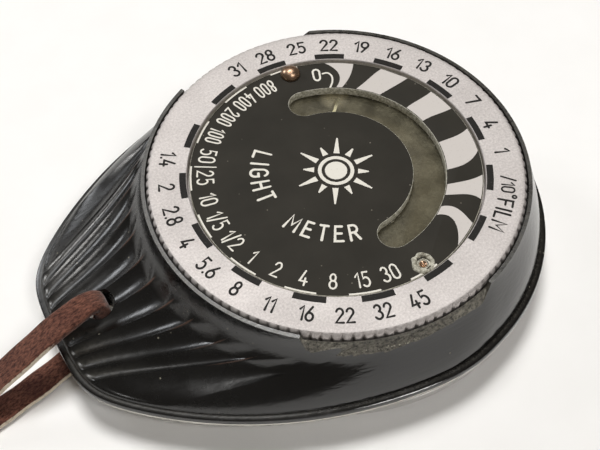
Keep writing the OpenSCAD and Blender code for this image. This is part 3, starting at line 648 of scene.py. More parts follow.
tree.links.new(rough.outputs["Result"], shader.inputs["Roughness"])
etched = add(tree, "Bump", {"Strength": 0.35, "Distance": 0.03 * MM, "Height": grain.outputs["Fac"]})
tree.links.new(etched.outputs["Normal"], shader.inputs["Normal"])
print("material", anodised.name)

# %% The knurled ring
notches, notch_deep, notch_half = 120, 0.26, 0.25
ring_in_r, ring_z, flange_r, flange_z = 20.0, 14.0, 19.38, 14.7
ring_profile = np.array([
    (ring_in_r + 0.1, ring_top, 0), (22.5, ring_top, 0), (24.6, ring_top, 0),
    (ring_r - 0.42, ring_top, 0), (ring_r - 0.36, ring_top - 0.02, 0),
    (ring_r - 0.2, ring_top - 0.14, 0.5), (ring_r - 0.06, ring_top - 0.3, 0.85),
    (ring_r, ring_top - 0.42, 1), (ring_r, ring_top - 1.2, 1), (ring_r, ring_z + 0.3, 1),
    (ring_r - 0.12, ring_z + 0.12, 1), (ring_r - 0.42, ring_z, 0.3), (24.6, ring_z, 0),
    (flange_r, ring_z, 0), (flange_r, flange_z, 0), (ring_in_r + 0.2, flange_z, 0),
    (ring_in_r, flange_z + 0.15, 0), (ring_in_r, ring_top - 0.1, 0)])
step = np.array([-0.5, -0.4, -notch_half, -0.18, -0.08, 0, 0.08, 0.18, notch_half, 0.4])
turn = ((np.arange(notches)[:, None] + step) / notches * TAU).ravel()
depth = np.tile(notch_deep * np.maximum(0, 1 - np.abs(step) / notch_half), notches)
bruise = 0.05 * ripple(20 * np.cos(turn), 20 * np.sin(turn), 1.1, 11)
ring_radius = ring_profile[:, :1] - ring_profile[:, 2:] * (depth + np.maximum(0, bruise))
ring_grid = np.stack([ring_radius * np.cos(turn), ring_radius * np.sin(turn),
                      np.broadcast_to(ring_profile[:, 1:2], ring_radius.shape)], -1)
ring_grime = ring_profile[:, 2:] * (0.3 + 0.45 * np.minimum(1, depth / notch_deep * 2))
ring_grime[:8] *= np.array([0, 0, 0, 0.1, 0.1, 0.3, 0.5, 0.8])[:, None]
ring = make_piece("knurled_ring", [grid_part(ring_grid, True, True)], anodised, "calculator_ring",
                  crease=25, values={"grime": ring_grime.ravel()})
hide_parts("calculator_ring")

# %% [markdown]
# ## Figures
#
# The figures on the ring and the dial are printed with narrow, rounded numerals of the kind that
# engraving machines cut, where every stroke has one width. A text object would give another
# typeface, so each numeral is a few strokes: points in a box one unit high, with round stretches
# as arcs of ellipses. A stroke becomes a thin bar with round ends, and is then bent round the
# dial: the distance along the line of text turns into an angle, and the height into a radius.

# %% Strokes of the figures
def bow(x, y, rx, ry, start, end, steps=12):
    """Points on an ellipse about (x, y) from one angle in degrees to another."""
    angle = np.radians(np.linspace(start, end, steps))
    return [(x + rx * c, y + ry * s) for c, s in zip(np.cos(angle), np.sin(angle))]


six = [(0.36, 1), (0.13, 0.6)] + bow(0.23, 0.28, 0.23, 0.28, 155, 515, 22)
STROKES = {
    "0": [bow(0.23, 0.74, 0.23, 0.26, 0, 180) + bow(0.23, 0.26, 0.23, 0.26, 180, 360) + [(0.46, 0.74)]],
    "1": [[(0.02, 0.74), (0.24, 1), (0.24, 0)]],
    "2": [bow(0.23, 0.74, 0.22, 0.26, 170, -25) + [(0, 0), (0.47, 0)]],
    "3": [bow(0.22, 0.76, 0.2, 0.24, 155, -80) + bow(0.22, 0.27, 0.24, 0.27, 80, -155)],
    "4": [[(0.25, 1), (0, 0.27), (0.48, 0.27)], [(0.34, 0.5), (0.34, 0)]],
    "5": [[(0.43, 1), (0.08, 1), (0.06, 0.55)] + bow(0.22, 0.32, 0.24, 0.32, 120, -140, 16)],
    "6": [six],
    "7": [[(0, 1), (0.46, 1), (0.14, 0)]],
    "8": [bow(0.23, 0.76, 0.19, 0.24, -90, 270, 20), bow(0.23, 0.27, 0.23, 0.27, 90, 450, 22)],
    "9": [[(0.46 - x, 1 - y) for x, y in six]],
    ".": [[(0.05, 0.01), (0.05, 0.03)]],
    "/": [[(0, -0.08), (0.34, 1.08)]],
    "|": [[(0.05, -0.2), (0.05, 1.1)]],
    "o": [bow(0.12, 0.82, 0.11, 0.14, 0, 360, 14)],
    "E": [[(0.42, 1), (0, 1), (0, 0), (0.42, 0)], [(0, 0.52), (0.36, 0.52)]],
    "F": [[(0.42, 1), (0, 1), (0, 0)], [(0, 0.52), (0.36, 0.52)]],
    "G": [bow(0.25, 0.72, 0.25, 0.28, 25, 180) + bow(0.25, 0.28, 0.25, 0.28, 180, 360)
          + [(0.5, 0.46), (0.28, 0.46)]],
    "H": [[(0, 0), (0, 1)], [(0.48, 0), (0.48, 1)], [(0, 0.5), (0.48, 0.5)]],
    "I": [[(0.03, 0), (0.03, 1)]],
    "L": [[(0, 1), (0, 0), (0.42, 0)]],
    "M": [[(0, 0), (0, 1), (0.31, 0.35), (0.62, 1), (0.62, 0)]],
    "R": [[(0, 0), (0, 1)] + bow(0.24, 0.75, 0.22, 0.25, 90, -90) + [(0, 0.5)],
          [(0.25, 0.5), (0.47, 0)]],
    "T": [[(0, 1), (0.52, 1)], [(0.26, 1), (0.26, 0)]],
}


def glyph_width(mark):
    """Width of a figure's box: its farthest point, without the stroke's own width."""
    return max(x for stroke in STROKES[mark] for x, _ in stroke)


def bar_outline(path, width):
    """Left and right edges of a stroke with round ends. Inner corners are mitred: the offset is
    the mean of the two normals, made longer by the cosine of the half angle between them."""
    path = np.asarray(path, float)
    ahead = np.diff(path, axis=0)
    ahead /= np.linalg.norm(ahead, axis=1, keepdims=True)
    normal = np.stack([-ahead[:, 1], ahead[:, 0]], -1)
    before, after = np.vstack([normal[:1], normal]), np.vstack([normal, normal[-1:]])
    mitre = before + after
    mitre /= np.maximum(np.sum(mitre * mitre, axis=1, keepdims=True) / 2, 0.7)
    half = width / 2
    cap = np.radians([80, 55, 25])
    reach = half * np.sin(cap)[:, None]
    middle = np.vstack([path[:1] - ahead[:1] * reach, path, path[-1:] + ahead[-1:] * reach[::-1]])
    offset = half * np.vstack([normal[:1] * np.cos(cap)[:, None], mitre,
                               normal[-1:] * np.cos(cap)[::-1, None]])
    return middle + offset, middle - offset


def raised(left, right, z, thick):
    """Closed flat bar between two edges, given in mm as (x, y): four lines of points run along
    it, two at its foot and two at its face. The face climbs by a hundredth of a millimetre, so
    that two faces never lie in one plane where a stroke crosses itself."""
    foot = np.full((len(left), 1), z)
    face = foot + thick + np.linspace(0, 0.01, len(left))[:, None]
    grid = np.stack([np.hstack([left, foot]), np.hstack([left, face]), np.hstack([right, face]),
                     np.hstack([right, foot])], 1)
    return grid_part(grid, close_columns=True, caps=True)


def round_the_dial(points, at, radius, tops_out):
    """Bends points (along, up) round the axis. Figures whose tops point outwards read clockwise,
    the others read anticlockwise."""
    sign = 1 if tops_out else -1
    angle = np.radians(at) - sign * points[:, 0] / radius
    reach = radius + sign * points[:, 1]
    return np.stack([reach * np.cos(angle), reach * np.sin(angle)], -1)


def write(text, at, radius, height, stroke, z, tops_out, spacing=0.21, squeeze=1.0, thick=0.02):
    """Parts for a word whose baseline lies on a circle and whose middle is at an angle."""
    widths = [glyph_width(mark) * squeeze for mark in text]
    x = -(sum(widths) + spacing * (len(text) - 1)) / 2
    parts = []
    for mark, width in zip(text, widths):
        for layer, path in enumerate(STROKES[mark]):
            points = (np.array(path) * [squeeze, 1] + [x, 0]) * height
            left, right = (round_the_dial(edge, at, radius, tops_out)
                           for edge in bar_outline(points, stroke))
            parts.append(raised(left, right, z, thick + 0.013 * layer))
        x += width + spacing
    return parts


def arc_bar(r_in, r_out, start, end, z, thick=0.02, steps=10):
    """Parts for a printed bar between two radii and two angles in degrees."""
    angle = np.radians(np.linspace(start, end, steps))
    circle = np.stack([np.cos(angle), np.sin(angle)], -1)
    return raised(r_in * circle, r_out * circle, z, thick)


# %% Printing inks
def ink(name, colour, worn, constants):
    """Screen ink, a few hundredths of a millimetre thick: matt and even, with pinholes and thin
    places under 0.2 mm drawn at 0.35 mm, where the ground shows through."""
    material, tree, shader, at = new_material(name, colour, constants)
    thin = add(tree, "TexNoise", {"Vector": at, "Scale": every(0.35), "Detail": 4.0,
                                  "Roughness": 0.7})
    bare = add(tree, "MapRange", {"Value": thin.outputs["Fac"], "From Min": 0.6, "From Max": 0.78,
                                  "To Max": 0.7})
    mixed = add(tree, "Mix", {0: bare.outputs["Result"], 6: srgb(colour), 7: srgb(worn)},
                data_type="RGBA")
    tree.links.new(mixed.outputs[2], shader.inputs["Base Color"])
    print("material", name)
    return material


white_ink = ink("white_ink", "#E2DED4", "#9A958A", {"Roughness": 0.6, "Specular IOR Level": 0.2})
silver_ink = ink("silver_ink", "#CBC5C0", "#9F9A93", {"Roughness": 0.6, "Specular IOR Level": 0.2})
black_ink = ink("black_ink", "#201E1C", "#57524E", {"Roughness": 0.6, "Specular IOR Level": 0.15})

# %% Figures on the ring
speeds = ["1", "4", "7", "10", "13", "16", "19", "22", "25", "28", "31"]
stops = ["1.4", "2", "2.8", "4", "5.6", "8", "11", "16", "22", "32", "45"]
figure_high, figure_stroke, figure_step = 2.0, 0.31, 12
ring_parts = []
for k, text in enumerate(speeds):
    ring_parts += write(text, -20 + figure_step * k, 21.75, figure_high, figure_stroke, ring_top,
                        True)
for k, text in enumerate(stops):
    ring_parts += write(text, 148 + figure_step * k, 23.75, figure_high, figure_stroke, ring_top,
                        False)
ring_parts += write("/10", -34.5, 22.1, 1.7, 0.24, ring_top, True)
ring_parts += write("o", -39.3, 22.3, 1.9, 0.24, ring_top, True)
ring_parts += write("FILM", -47.5, 21.8, 2.0, 0.3, ring_top, True, spacing=0.3)
bar_count, bar_first, bar_span = 15, 16, 11.8
ring_parts += [arc_bar(20.12, 21.02, middle - bar_span / 2, middle + bar_span / 2, ring_top)
               for middle in bar_first + 360 / bar_count * np.arange(bar_count)]
make_piece("ring_figures", ring_parts, black_ink, "calculator_ring")

# %% [markdown]
# ## The dial
#
# The dial is a disc of aluminium, stoved black and printed white. Its edges were cut after it was
# painted, so they are bare: a thin bright line runs round the disc and round the slot. The CAD
# disc has the right outline, so a copy of it is merged and given a small bevel.

# %% A bevelled copy of a CAD node
def bevelled(node, name, material, body, width, segments=2):
    """Copy of a CAD node with its doubled points merged, its flat faces joined and its edges
    bevelled by width mm. It stands for the node."""
    shape = bmesh.new()
    shape.from_mesh(frame["nodes"][node].data)
    bmesh.ops.remove_doubles(shape, verts=shape.verts, dist=0.002 * MM)
    bmesh.ops.dissolve_limit(shape, angle_limit=math.radians(1), verts=shape.verts,
                             edges=shape.edges)
    mesh = bpy.data.meshes.new(name)
    shape.to_mesh(mesh)
    shape.free()
    mesh.materials.clear()
    mesh.materials.append(material)
    mesh.shade_smooth()
    piece = bpy.data.objects.new(name, mesh)
    bpy.context.scene.collection.objects.link(piece)
    edge = piece.modifiers.new("edges", "BEVEL")
    edge.width, edge.segments, edge.limit_method = width * MM, segments, "ANGLE"
    edge.angle_limit = math.radians(40)
    edge.harden_normals = True
    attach(piece, body)
    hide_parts(node)
    print(f"{name}: {len(mesh.polygons)} faces before its bevel")
    return piece


# %% Stoved enamel on cut aluminium
# Stoving enamel on aluminium: nearly matt, soft black with a faint orange peel of 0.4 mm, lint
# and dust specks a few millimetres apart, and bare metal wherever the face isn't level.
enamel, tree, shader, at = new_material("stoved_enamel", "#2F2D29", {
    "Specular IOR Level": 0.15, "Roughness": 0.7})
peel = add(tree, "TexNoise", {"Vector": at, "Scale": every(0.4), "Detail": 3.0, "Roughness": 0.6})
haze = add(tree, "TexNoise", {"Vector": at, "Scale": every(5), "Detail": 4.0})
tone = add(tree, "Mix", {0: haze.outputs["Fac"], 6: srgb("#26241F"), 7: srgb("#37342E")},
           data_type="RGBA")
lint = specks(tree, at, 1.1, 0.11, 0.8)
linty = add(tree, "Mix", {0: lint, 6: tone.outputs[2], 7: srgb("#8E887C")},
            data_type="RGBA")
facing = add(tree, "SeparateXYZ", {0: add(tree, "NewGeometry").outputs["Normal"]})
bare = add(tree, "MapRange", {"Value": facing.outputs["Z"], "From Min": 0.97, "From Max": 0.9})
nicked = add(tree, "MapRange", {"Value": peel.outputs["Fac"], "From Min": 0.35, "From Max": 0.6})
edge_dirt = add(tree, "Mix", {0: nicked.outputs["Result"], 6: srgb("#A9A693"), 7: srgb("#F0EDE0")},
                data_type="RGBA")
dial_colour = add(tree, "Mix", {0: bare.outputs["Result"], 6: linty.outputs[2],
                                7: edge_dirt.outputs[2]}, data_type="RGBA")
tree.links.new(dial_colour.outputs[2], shader.inputs["Base Color"])
part_metal = add(tree, "Math", {0: bare.outputs["Result"], 1: 0.15}, operation="MULTIPLY")
tree.links.new(part_metal.outputs[0], shader.inputs["Metallic"])
orange = add(tree, "Bump", {"Strength": 0.25, "Distance": 0.03 * MM, "Height": peel.outputs["Fac"]})
tree.links.new(orange.outputs["Normal"], shader.inputs["Normal"])
print("material", enamel.name)

# %% The dial's disc
bevelled("dial_plate", "dial_disc", enamel, "case", 0.14, 3)

# %% The dial's figures
times = ["800", "400", "200", "100", "50", "25", "10", "1/5", "1/2", "1", "2", "4", "8", "15", "30"]
dial_parts = []
for k, text in enumerate(times):
    dial_parts += write(text, 96 + figure_step * k, 18.65, 2.15, 0.25, dial_top, False,
                        spacing=0.15 if "/" in text else 0.22,
                        squeeze=0.66 if text.endswith("00") else 0.92)
dial_parts += write("|", 150, 18.6, 2.2, 0.2, dial_top, False)
dial_parts += write("0", 70.5, 18.5, 2.1, 0.3, dial_top, False)
dial_parts += [arc_bar(19.42, 19.66, start, start + 12, dial_top) for start in range(78, 271, 24)]


def printed_line(polar, width):
    """Part for a line through (angle in degrees, radius) points, smoothed as a Catmull-Rom curve."""
    line = smooth_line([(np.radians(a), r, 0) for a, r in polar], 8)
    points = np.stack([line[:, 1] * np.cos(line[:, 0]), line[:, 1] * np.sin(line[:, 0])], -1)
    left, right = bar_outline(points, width)
    return raised(left, right, dial_top, 0.02)


dial_parts.append(printed_line([(67.6, 17.6), (65.2, 17.7), (63.3, 17), (63.2, 15.9), (64.4, 14.95)],
                               0.26))
make_piece("dial_figures", dial_parts, white_ink, "case")

# %% [markdown]
# Beams of silver run from the rim to the slot, and show which part of the scale belongs to which
# figure. At the rim each is 12 degrees wide. On the way in they lean together or apart, because
# the needle's pivot isn't at the dial's centre. Each edge is one smooth line, a cubic through four
# angles.

# %% The silver beams
beam_radii = [19.6, 18, 16.3, 14.95]
beam_edges = [[66, 60.8, 59.4, 61.1], [54, 54.2, 55.6, 58], [42, 44.5, 47.2, 50.2],
              [30, 31.8, 34.4, 36.9], [18, 18.4, 19.4, 20], [6, 6.5, 7.4, 7.6],
              [-6, -7.8, -8.5, -9], [-18, -23.1, -25.9, -27.4], [-30, -32.8, -35, -36.9],
              [-42, -40.8, -42.1, -43.7], [-54, -51.1, -49.4, -51.5], [-66, -58.4, -55.1, -57.2]]
beam_parts = []
reach = np.linspace(beam_radii[0], beam_radii[-1], 16)
for first, second in zip(beam_edges[::2], beam_edges[1::2]):
    sides = []
    for angles in (first, second):
        angle = np.radians(np.polyval(np.polyfit(beam_radii, angles, 3), reach))
        sides.append(np.stack([reach * np.cos(angle), reach * np.sin(angle)], -1))
    across_beam = np.linspace(0, 1, 9)[:, None]
    face = sides[0][:, None] + (sides[1] - sides[0])[:, None] * across_beam
    face *= reach[:, None, None] / np.linalg.norm(face, axis=-1, keepdims=True)
    loop = np.concatenate([face, face[:, ::-1]], axis=1)
    height = np.repeat([dial_top + 0.02, dial_top], face.shape[1])
    height = np.broadcast_to(height, loop.shape[:2])[..., None]
    beam_parts.append(grid_part(np.concatenate([loop, height], -1), close_columns=True, caps=True))
make_piece("dial_beams", beam_parts, silver_ink, "case")

# %% The emblem and the words
# A sun stands in the middle, for the light that is measured: a disc with a dark ring in it and
# twelve rays. The words below it say what the thing is.
def printed_ring(r_in, r_out):
    """Part for a printed ring: a flat profile carried round the axis."""
    face = dial_top + 0.02
    return grid_part(revolve([(r_in, dial_top), (r_in, face), (r_out, face), (r_out, dial_top)], 48),
                     True, True)


emblem = [printed_ring(0.01, 1.5), printed_ring(1.95, 2.45)]
for k in range(12):
    long = 5.6 if k % 2 == 0 else 4.4
    ray = np.array([[2.95, 0.42], [long, 0.1]])
    turn_by = TAU * k / 12
    spin = np.array([[np.cos(turn_by), np.sin(turn_by)], [-np.sin(turn_by), np.cos(turn_by)]])
    emblem.append(raised(ray @ spin, (ray * [1, -1]) @ spin, dial_top, 0.02))
emblem += write("LIGHT", 158, 11.5, 2.3, 0.36, dial_top, False, spacing=0.46, squeeze=1.12)
emblem += write("METER", 231, 11.5, 2.3, 0.36, dial_top, False, spacing=0.46, squeeze=1.12)
make_piece("dial_emblem", emblem, white_ink, "case")

# %% [markdown]
# ## Rivets
#
# Two copper rivets hold the dial. One still has its domed head. The other head has broken out
# and left a ragged collar of chips with a stub of copper in it. The dome is a profile carried
# round its own axis. The collar is a rolled ring whose height and width waver.

# %% Copper
# Rivet copper, cold headed and long handled: tarnished brown in patches of about 0.6 mm.
copper, tree, shader, at = new_material("rivet_copper", "#AD8A6E", {"Metallic": 1.0})
tarnish = add(tree, "TexNoise", {"Vector": at, "Scale": every(0.6), "Detail": 5.0, "Roughness": 0.7})
patch = add(tree, "MapRange", {"Value": tarnish.outputs["Fac"], "From Min": 0.42, "From Max": 0.66})
copper_colour = add(tree, "Mix", {0: patch.outputs["Result"], 6: srgb("#C4A68C"),
                                  7: srgb("#8A6A54")}, data_type="RGBA")
tree.links.new(copper_colour.outputs[2], shader.inputs["Base Color"])
worn = add(tree, "MapRange", {"Value": tarnish.outputs["Fac"], "From Min": 0.35, "From Max": 0.7,
                              "To Min": 0.2, "To Max": 0.5})
tree.links.new(worn.outputs["Result"], shader.inputs["Roughness"])
dented = add(tree, "Bump", {"Strength": 0.3, "Distance": 0.05 * MM, "Height": tarnish.outputs["Fac"]})
tree.links.new(dented.outputs["Normal"], shader.inputs["Normal"])
print("material", copper.name)

# %% The two rivets
rivet_at, rivet_turn, dome_r, dome_high = 18.45, math.radians(82), 1.4, 1.15
seat = np.array([[np.cos(s * rivet_turn), np.sin(s * rivet_turn)] for s in (1, -1)]) * rivet_at
lift = np.radians(np.linspace(0, 89.5, 18))
dome = [(dome_r * np.cos(a), dial_top + 0.12 + (dome_high - 0.12) * np.sin(a)) for a in lift]
dome = [(0.01, dial_top - 0.4), (0.5, dial_top - 0.4), (0.5, dial_top), (dome_r - 0.08, dial_top),
        (dome_r, dial_top + 0.05)] + dome
stub = [(0.01, dial_top - 0.9), (0.58, dial_top - 0.9), (0.58, dial_top - 0.12),
        (0.42, dial_top + 0.04), (0.2, dial_top - 0.12), (0.01, dial_top - 0.05)]
rivet_parts = []
for profile, (x, y) in zip((dome, stub), seat):
    turned = revolve(profile, 56) + [x, y, 0]
    rivet_parts.append(grid_part(turned, close_rows=True, close_columns=True))
rivets = make_piece("copper_rivets", rivet_parts, copper, "case", crease=50)
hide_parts("dial_rivets")

# %% Chips of resin and paint
# Broken resin, paint and old glue: pale grey to brown crumbs, dull, with no polish at all.
chips, tree, shader, at = new_material("broken_chips", "#8F8B80", {
    "Roughness": 0.8, "Specular IOR Level": 0.3})
crumbly = add(tree, "TexNoise", {"Vector": at, "Scale": every(0.5), "Detail": 5.0, "Roughness": 0.7})
pale = add(tree, "MapRange", {"Value": crumbly.outputs["Fac"], "From Min": 0.35, "From Max": 0.65})
chip_colour = add(tree, "Mix", {0: pale.outputs["Result"], 6: srgb("#6B6657"), 7: srgb("#D8D5C6")},
                  data_type="RGBA")
tree.links.new(chip_colour.outputs[2], shader.inputs["Base Color"])
crumbs_bump = add(tree, "Bump", {"Strength": 0.6, "Distance": 0.1 * MM,
                                 "Height": crumbly.outputs["Fac"]})
tree.links.new(crumbs_bump.outputs["Normal"], shader.inputs["Normal"])
print("material", chips.name)


def ragged_collar(x, y, radius, width, high, seed, around=72, section=12):
    """Grid of a rolled ring about (x, y): an oval section carried round, whose radius, width and
    height waver with sine waves of the angle."""
    turn = np.arange(around)[:, None] / around * TAU
    roll_by = np.arange(section)[None, :] / section * TAU
    wave = ripple(3 * np.cos(turn), 3 * np.sin(turn), 6, seed)
    fine = ripple(3 * np.cos(turn), 3 * np.sin(turn), 2.2, seed + 1)
    reach = radius * (1 + 0.1 * wave) + width * (1 + 0.35 * fine) * np.cos(roll_by)
    swell = high * (1 + 0.5 * wave + 0.3 * fine)
    height = dial_top - 0.05 + swell * np.maximum(np.sin(roll_by), -0.2)
    return np.stack([x + reach * np.cos(turn), y + reach * np.sin(turn), height], -1)


def crumbs(places, sizes, seed):
    """Parts for loose crumbs: octahedra whose corners are pulled about at random."""
    draw = np.random.default_rng(seed)
    corners = np.array([[1, 0, 0], [-1, 0, 0], [0, 1, 0], [0, -1, 0], [0, 0, 1], [0, 0, -1]], float)
    faces = [[0, 2, 4], [2, 1, 4], [1, 3, 4], [3, 0, 4], [2, 0, 5], [1, 2, 5], [3, 1, 5], [0, 3, 5]]
    shapes = corners * draw.uniform(0.45, 1, (len(places), 6, 1))
    shapes = shapes + draw.normal(0, 0.12, (len(places), 6, 3))
    return [(place + shape * size, faces) for place, shape, size in zip(places, shapes, sizes)]


collar_parts = [grid_part(ragged_collar(*seat[1], 1.25, 0.34, 0.42, 21), True, True),
                grid_part(ragged_collar(*seat[1], 0.75, 0.14, 0.14, 27), True, True)]
make_piece("rivet_collar", collar_parts, chips, "case", crease=60)

# %% Crumbs in the break and round the slot
draw = np.random.default_rng(7)
ledge_count, slot_counts = 150, (40, 50)
slot_count = sum(slot_counts)
ledge_turn = np.radians(draw.uniform(-127, -72, ledge_count))
ledge_reach = draw.uniform(25.75, 26.4, ledge_count)
ledge_spots = np.stack([ledge_reach * np.cos(ledge_turn), ledge_reach * np.sin(ledge_turn),
                        draw.uniform(13.55, 13.75, ledge_count)], -1)
slot_turn = np.radians(np.concatenate([draw.uniform(-84, -60, slot_counts[0]),
                                       draw.uniform(-60, 82, slot_counts[1])]))
slot_reach = np.where(draw.uniform(0, 1, slot_count) < 0.5, 10.5, 14.7)
slot_reach += draw.normal(0, 0.06, slot_count)
slot_spots = np.stack([slot_reach * np.cos(slot_turn), slot_reach * np.sin(slot_turn),
                       np.full(slot_count, corner("dial_window", 1, 2) + 0.05)], -1)
loose = crumbs(ledge_spots, draw.uniform(0.06, 0.2, ledge_count), 8)
loose += crumbs(slot_spots, draw.uniform(0.04, 0.12, slot_count), 9)
make_piece("loose_crumbs", loose, chips, "case", crease=10)

# %% [markdown]
# ## Window, scale and needle
#
# A sheet of clear celluloid closes the slot from below. It has yellowed, and dust lies on it, so
# it isn't drawn as perfect glass: most of the light goes straight through, and a thin film of
# dust shows in front of the olive scale. The needle is a thin blade with pale lacquer.

# %% Celluloid
# Clear cast celluloid: index of refraction 1.5, yellowed. The dust on it lies in drifts of 3 mm
# with grains under 0.1 mm, drawn at 0.3 mm.
celluloid, tree, shader, at = new_material("clear_celluloid", "#8C8670", {
    "IOR": 1.5, "Specular IOR Level": 0.25})
drift = add(tree, "TexNoise", {"Vector": at, "Scale": every(3), "Detail": 4.0})
grains = add(tree, "TexNoise", {"Vector": at, "Scale": every(0.3), "Detail": 3.0, "Roughness": 0.8})
layer = add(tree, "Math", {0: drift.outputs["Fac"], 1: grains.outputs["Fac"]}, operation="MULTIPLY")
film = add(tree, "MapRange", {"Value": layer.outputs[0], "From Min": 0.18, "From Max": 0.4,
                              "To Min": 0.1, "To Max": 0.34})
tree.links.new(film.outputs["Result"], shader.inputs["Alpha"])
gloss = add(tree, "MapRange", {"Value": drift.outputs["Fac"], "From Min": 0.3, "From Max": 0.7,
                               "To Min": 0.3, "To Max": 0.6})
tree.links.new(gloss.outputs["Result"], shader.inputs["Roughness"])
bevelled("dial_window", "celluloid_window", celluloid, "case", 0.08)

# %% Scale paint
# Olive brown distemper on sheet metal: flat and mottled over 2 mm. By the place where the needle's
# tip rests, a pool of light is painted on it in pale cream.
scale_paint, tree, shader, at = new_material("scale_paint", "#5F573F", {
    "Roughness": 0.85, "Specular IOR Level": 0.25})
mottle = add(tree, "TexNoise", {"Vector": at, "Scale": every(2), "Detail": 6.0, "Roughness": 0.65})
olive = add(tree, "Mix", {0: mottle.outputs["Fac"], 6: srgb("#2A2519"), 7: srgb("#625A45")},
            data_type="RGBA")
# Painted light: a pale cream spot, 1.2 to 2.4 mm round this point, stands in for light falling on the
# scale.
away = add(tree, "VectorMath", {0: at, 1: (7.5 * MM, 14.1 * MM, 13.2 * MM)}, operation="DISTANCE")
painted_light_spot = add(tree, "MapRange", {"Value": away.outputs["Value"], "From Min": 2.4 * MM,
                                "From Max": 1.2 * MM})
olive_and_painted_light = add(tree, "Mix", {0: painted_light_spot.outputs["Result"], 6: olive.outputs[2],
                                 7: srgb("#FFF6D8")}, data_type="RGBA")
tree.links.new(olive_and_painted_light.outputs[2], shader.inputs["Base Color"])
bevelled("scale_plate", "scale_floor", scale_paint, "case", 0.05)

# %% Needle lacquer
# Pale yellow lacquer on a thin aluminium blade: semi-gloss, a little uneven over 1 mm.
lacquer, tree, shader, at = new_material("needle_lacquer", "#EADFA6", {"Roughness": 0.4})
brushed = add(tree, "TexNoise", {"Vector": at, "Scale": every(1), "Detail": 2.0})
cream = add(tree, "Mix", {0: brushed.outputs["Fac"], 6: srgb("#F0E4A8"), 7: srgb("#FFFADC")},
            data_type="RGBA")
tree.links.new(cream.outputs[2], shader.inputs["Base Color"])
pivot_x, rest_turn, needle_z = -5.0, math.radians(46), corner("needle", 1, 2) - 0.1
along = np.array([0.5, 6, 12, 17, 18.3, 18.6])
half = np.array([0.3, 0.26, 0.22, 0.2, 0.17, 0.06])
ahead = np.array([math.cos(rest_turn), math.sin(rest_turn)])
square = np.array([-ahead[1], ahead[0]])
centre = np.array([pivot_x, 0]) + along[:, None] * ahead
blade = raised(centre + half[:, None] * square, centre - half[:, None] * square,
               needle_z - 0.07, 0.15)
stump = np.array([pivot_x, 0]) + np.array([[-3.0], [-0.5]]) * ahead
tail = raised(stump + 0.24 * square, stump - 0.24 * square, needle_z - 0.07, 0.15)
hub = revolve([(0.22, needle_z - 0.15), (0.8, needle_z - 0.15), (0.8, needle_z + 0.1),
               (0.74, needle_z + 0.15), (0.22, needle_z + 0.15)], 40) + [pivot_x, 0, 0]
needle = make_piece("needle_blade", [blade, tail, grid_part(hub, True, True)], lacquer,
                    "needle_coil")
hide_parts("needle")

# %% [markdown]
# ## Metal, card and resin inside and below
#
# Everything else is worked metal or sheet. Metals of one kind differ in colour, gloss and the
# size of the tool marks, so one recipe makes them all: two tones in cloudy patches, and fine
# marks drawn out along one axis. A second recipe makes the materials that aren't metal, with
# their own mottling. The real marks are 0.02 to 0.1 mm wide and are drawn a few times coarser.

# %% Two recipes
def metal(name, bright, dull, roughness, marks, stretch=(1, 1, 1)):
    """Worked metal: two tones in patches of 4 mm, and tool marks of the given size in mm."""
    material, tree, shader, at = new_material(name, bright, {"Metallic": 1.0})
    patches = add(tree, "TexNoise", {"Vector": at, "Scale": every(4), "Detail": 4.0})
    drawn = add(tree, "Mapping", {"Vector": at, "Scale": stretch})
    tool = add(tree, "TexNoise", {"Vector": drawn.outputs["Vector"], "Scale": every(marks),
                                  "Detail": 3.0, "Roughness": 0.6})
    tones = add(tree, "Mix", {0: patches.outputs["Fac"], 6: srgb(bright), 7: srgb(dull)},
                data_type="RGBA")
    tree.links.new(tones.outputs[2], shader.inputs["Base Color"])
    uneven = add(tree, "MapRange", {"Value": tool.outputs["Fac"], "From Min": 0.3, "From Max": 0.7,
                                    "To Min": roughness * 0.8, "To Max": roughness * 1.25})
    tree.links.new(uneven.outputs["Result"], shader.inputs["Roughness"])
    marked = add(tree, "Bump", {"Strength": 0.2, "Distance": 0.02 * MM, "Height": tool.outputs["Fac"]})
    tree.links.new(marked.outputs["Normal"], shader.inputs["Normal"])
    return material


def sheet_stock(name, light, dark, mottle, constants):
    """Card, resin, rubber or lacquer: two tones mottled at the given size in mm, with a relief of
    a few hundredths of a millimetre."""
    material, tree, shader, at = new_material(name, light, constants)
    cloudy = add(tree, "TexNoise", {"Vector": at, "Scale": every(mottle), "Detail": 5.0,
                                    "Roughness": 0.65})
    tones = add(tree, "Mix", {0: cloudy.outputs["Fac"], 6: srgb(light), 7: srgb(dark)},
                data_type="RGBA")
    tree.links.new(tones.outputs[2], shader.inputs["Base Color"])
    relief = add(tree, "Bump", {"Strength": 0.3, "Distance": 0.04 * MM,
                                "Height": cloudy.outputs["Fac"]})
    tree.links.new(relief.outputs["Normal"], shader.inputs["Normal"])
    return material


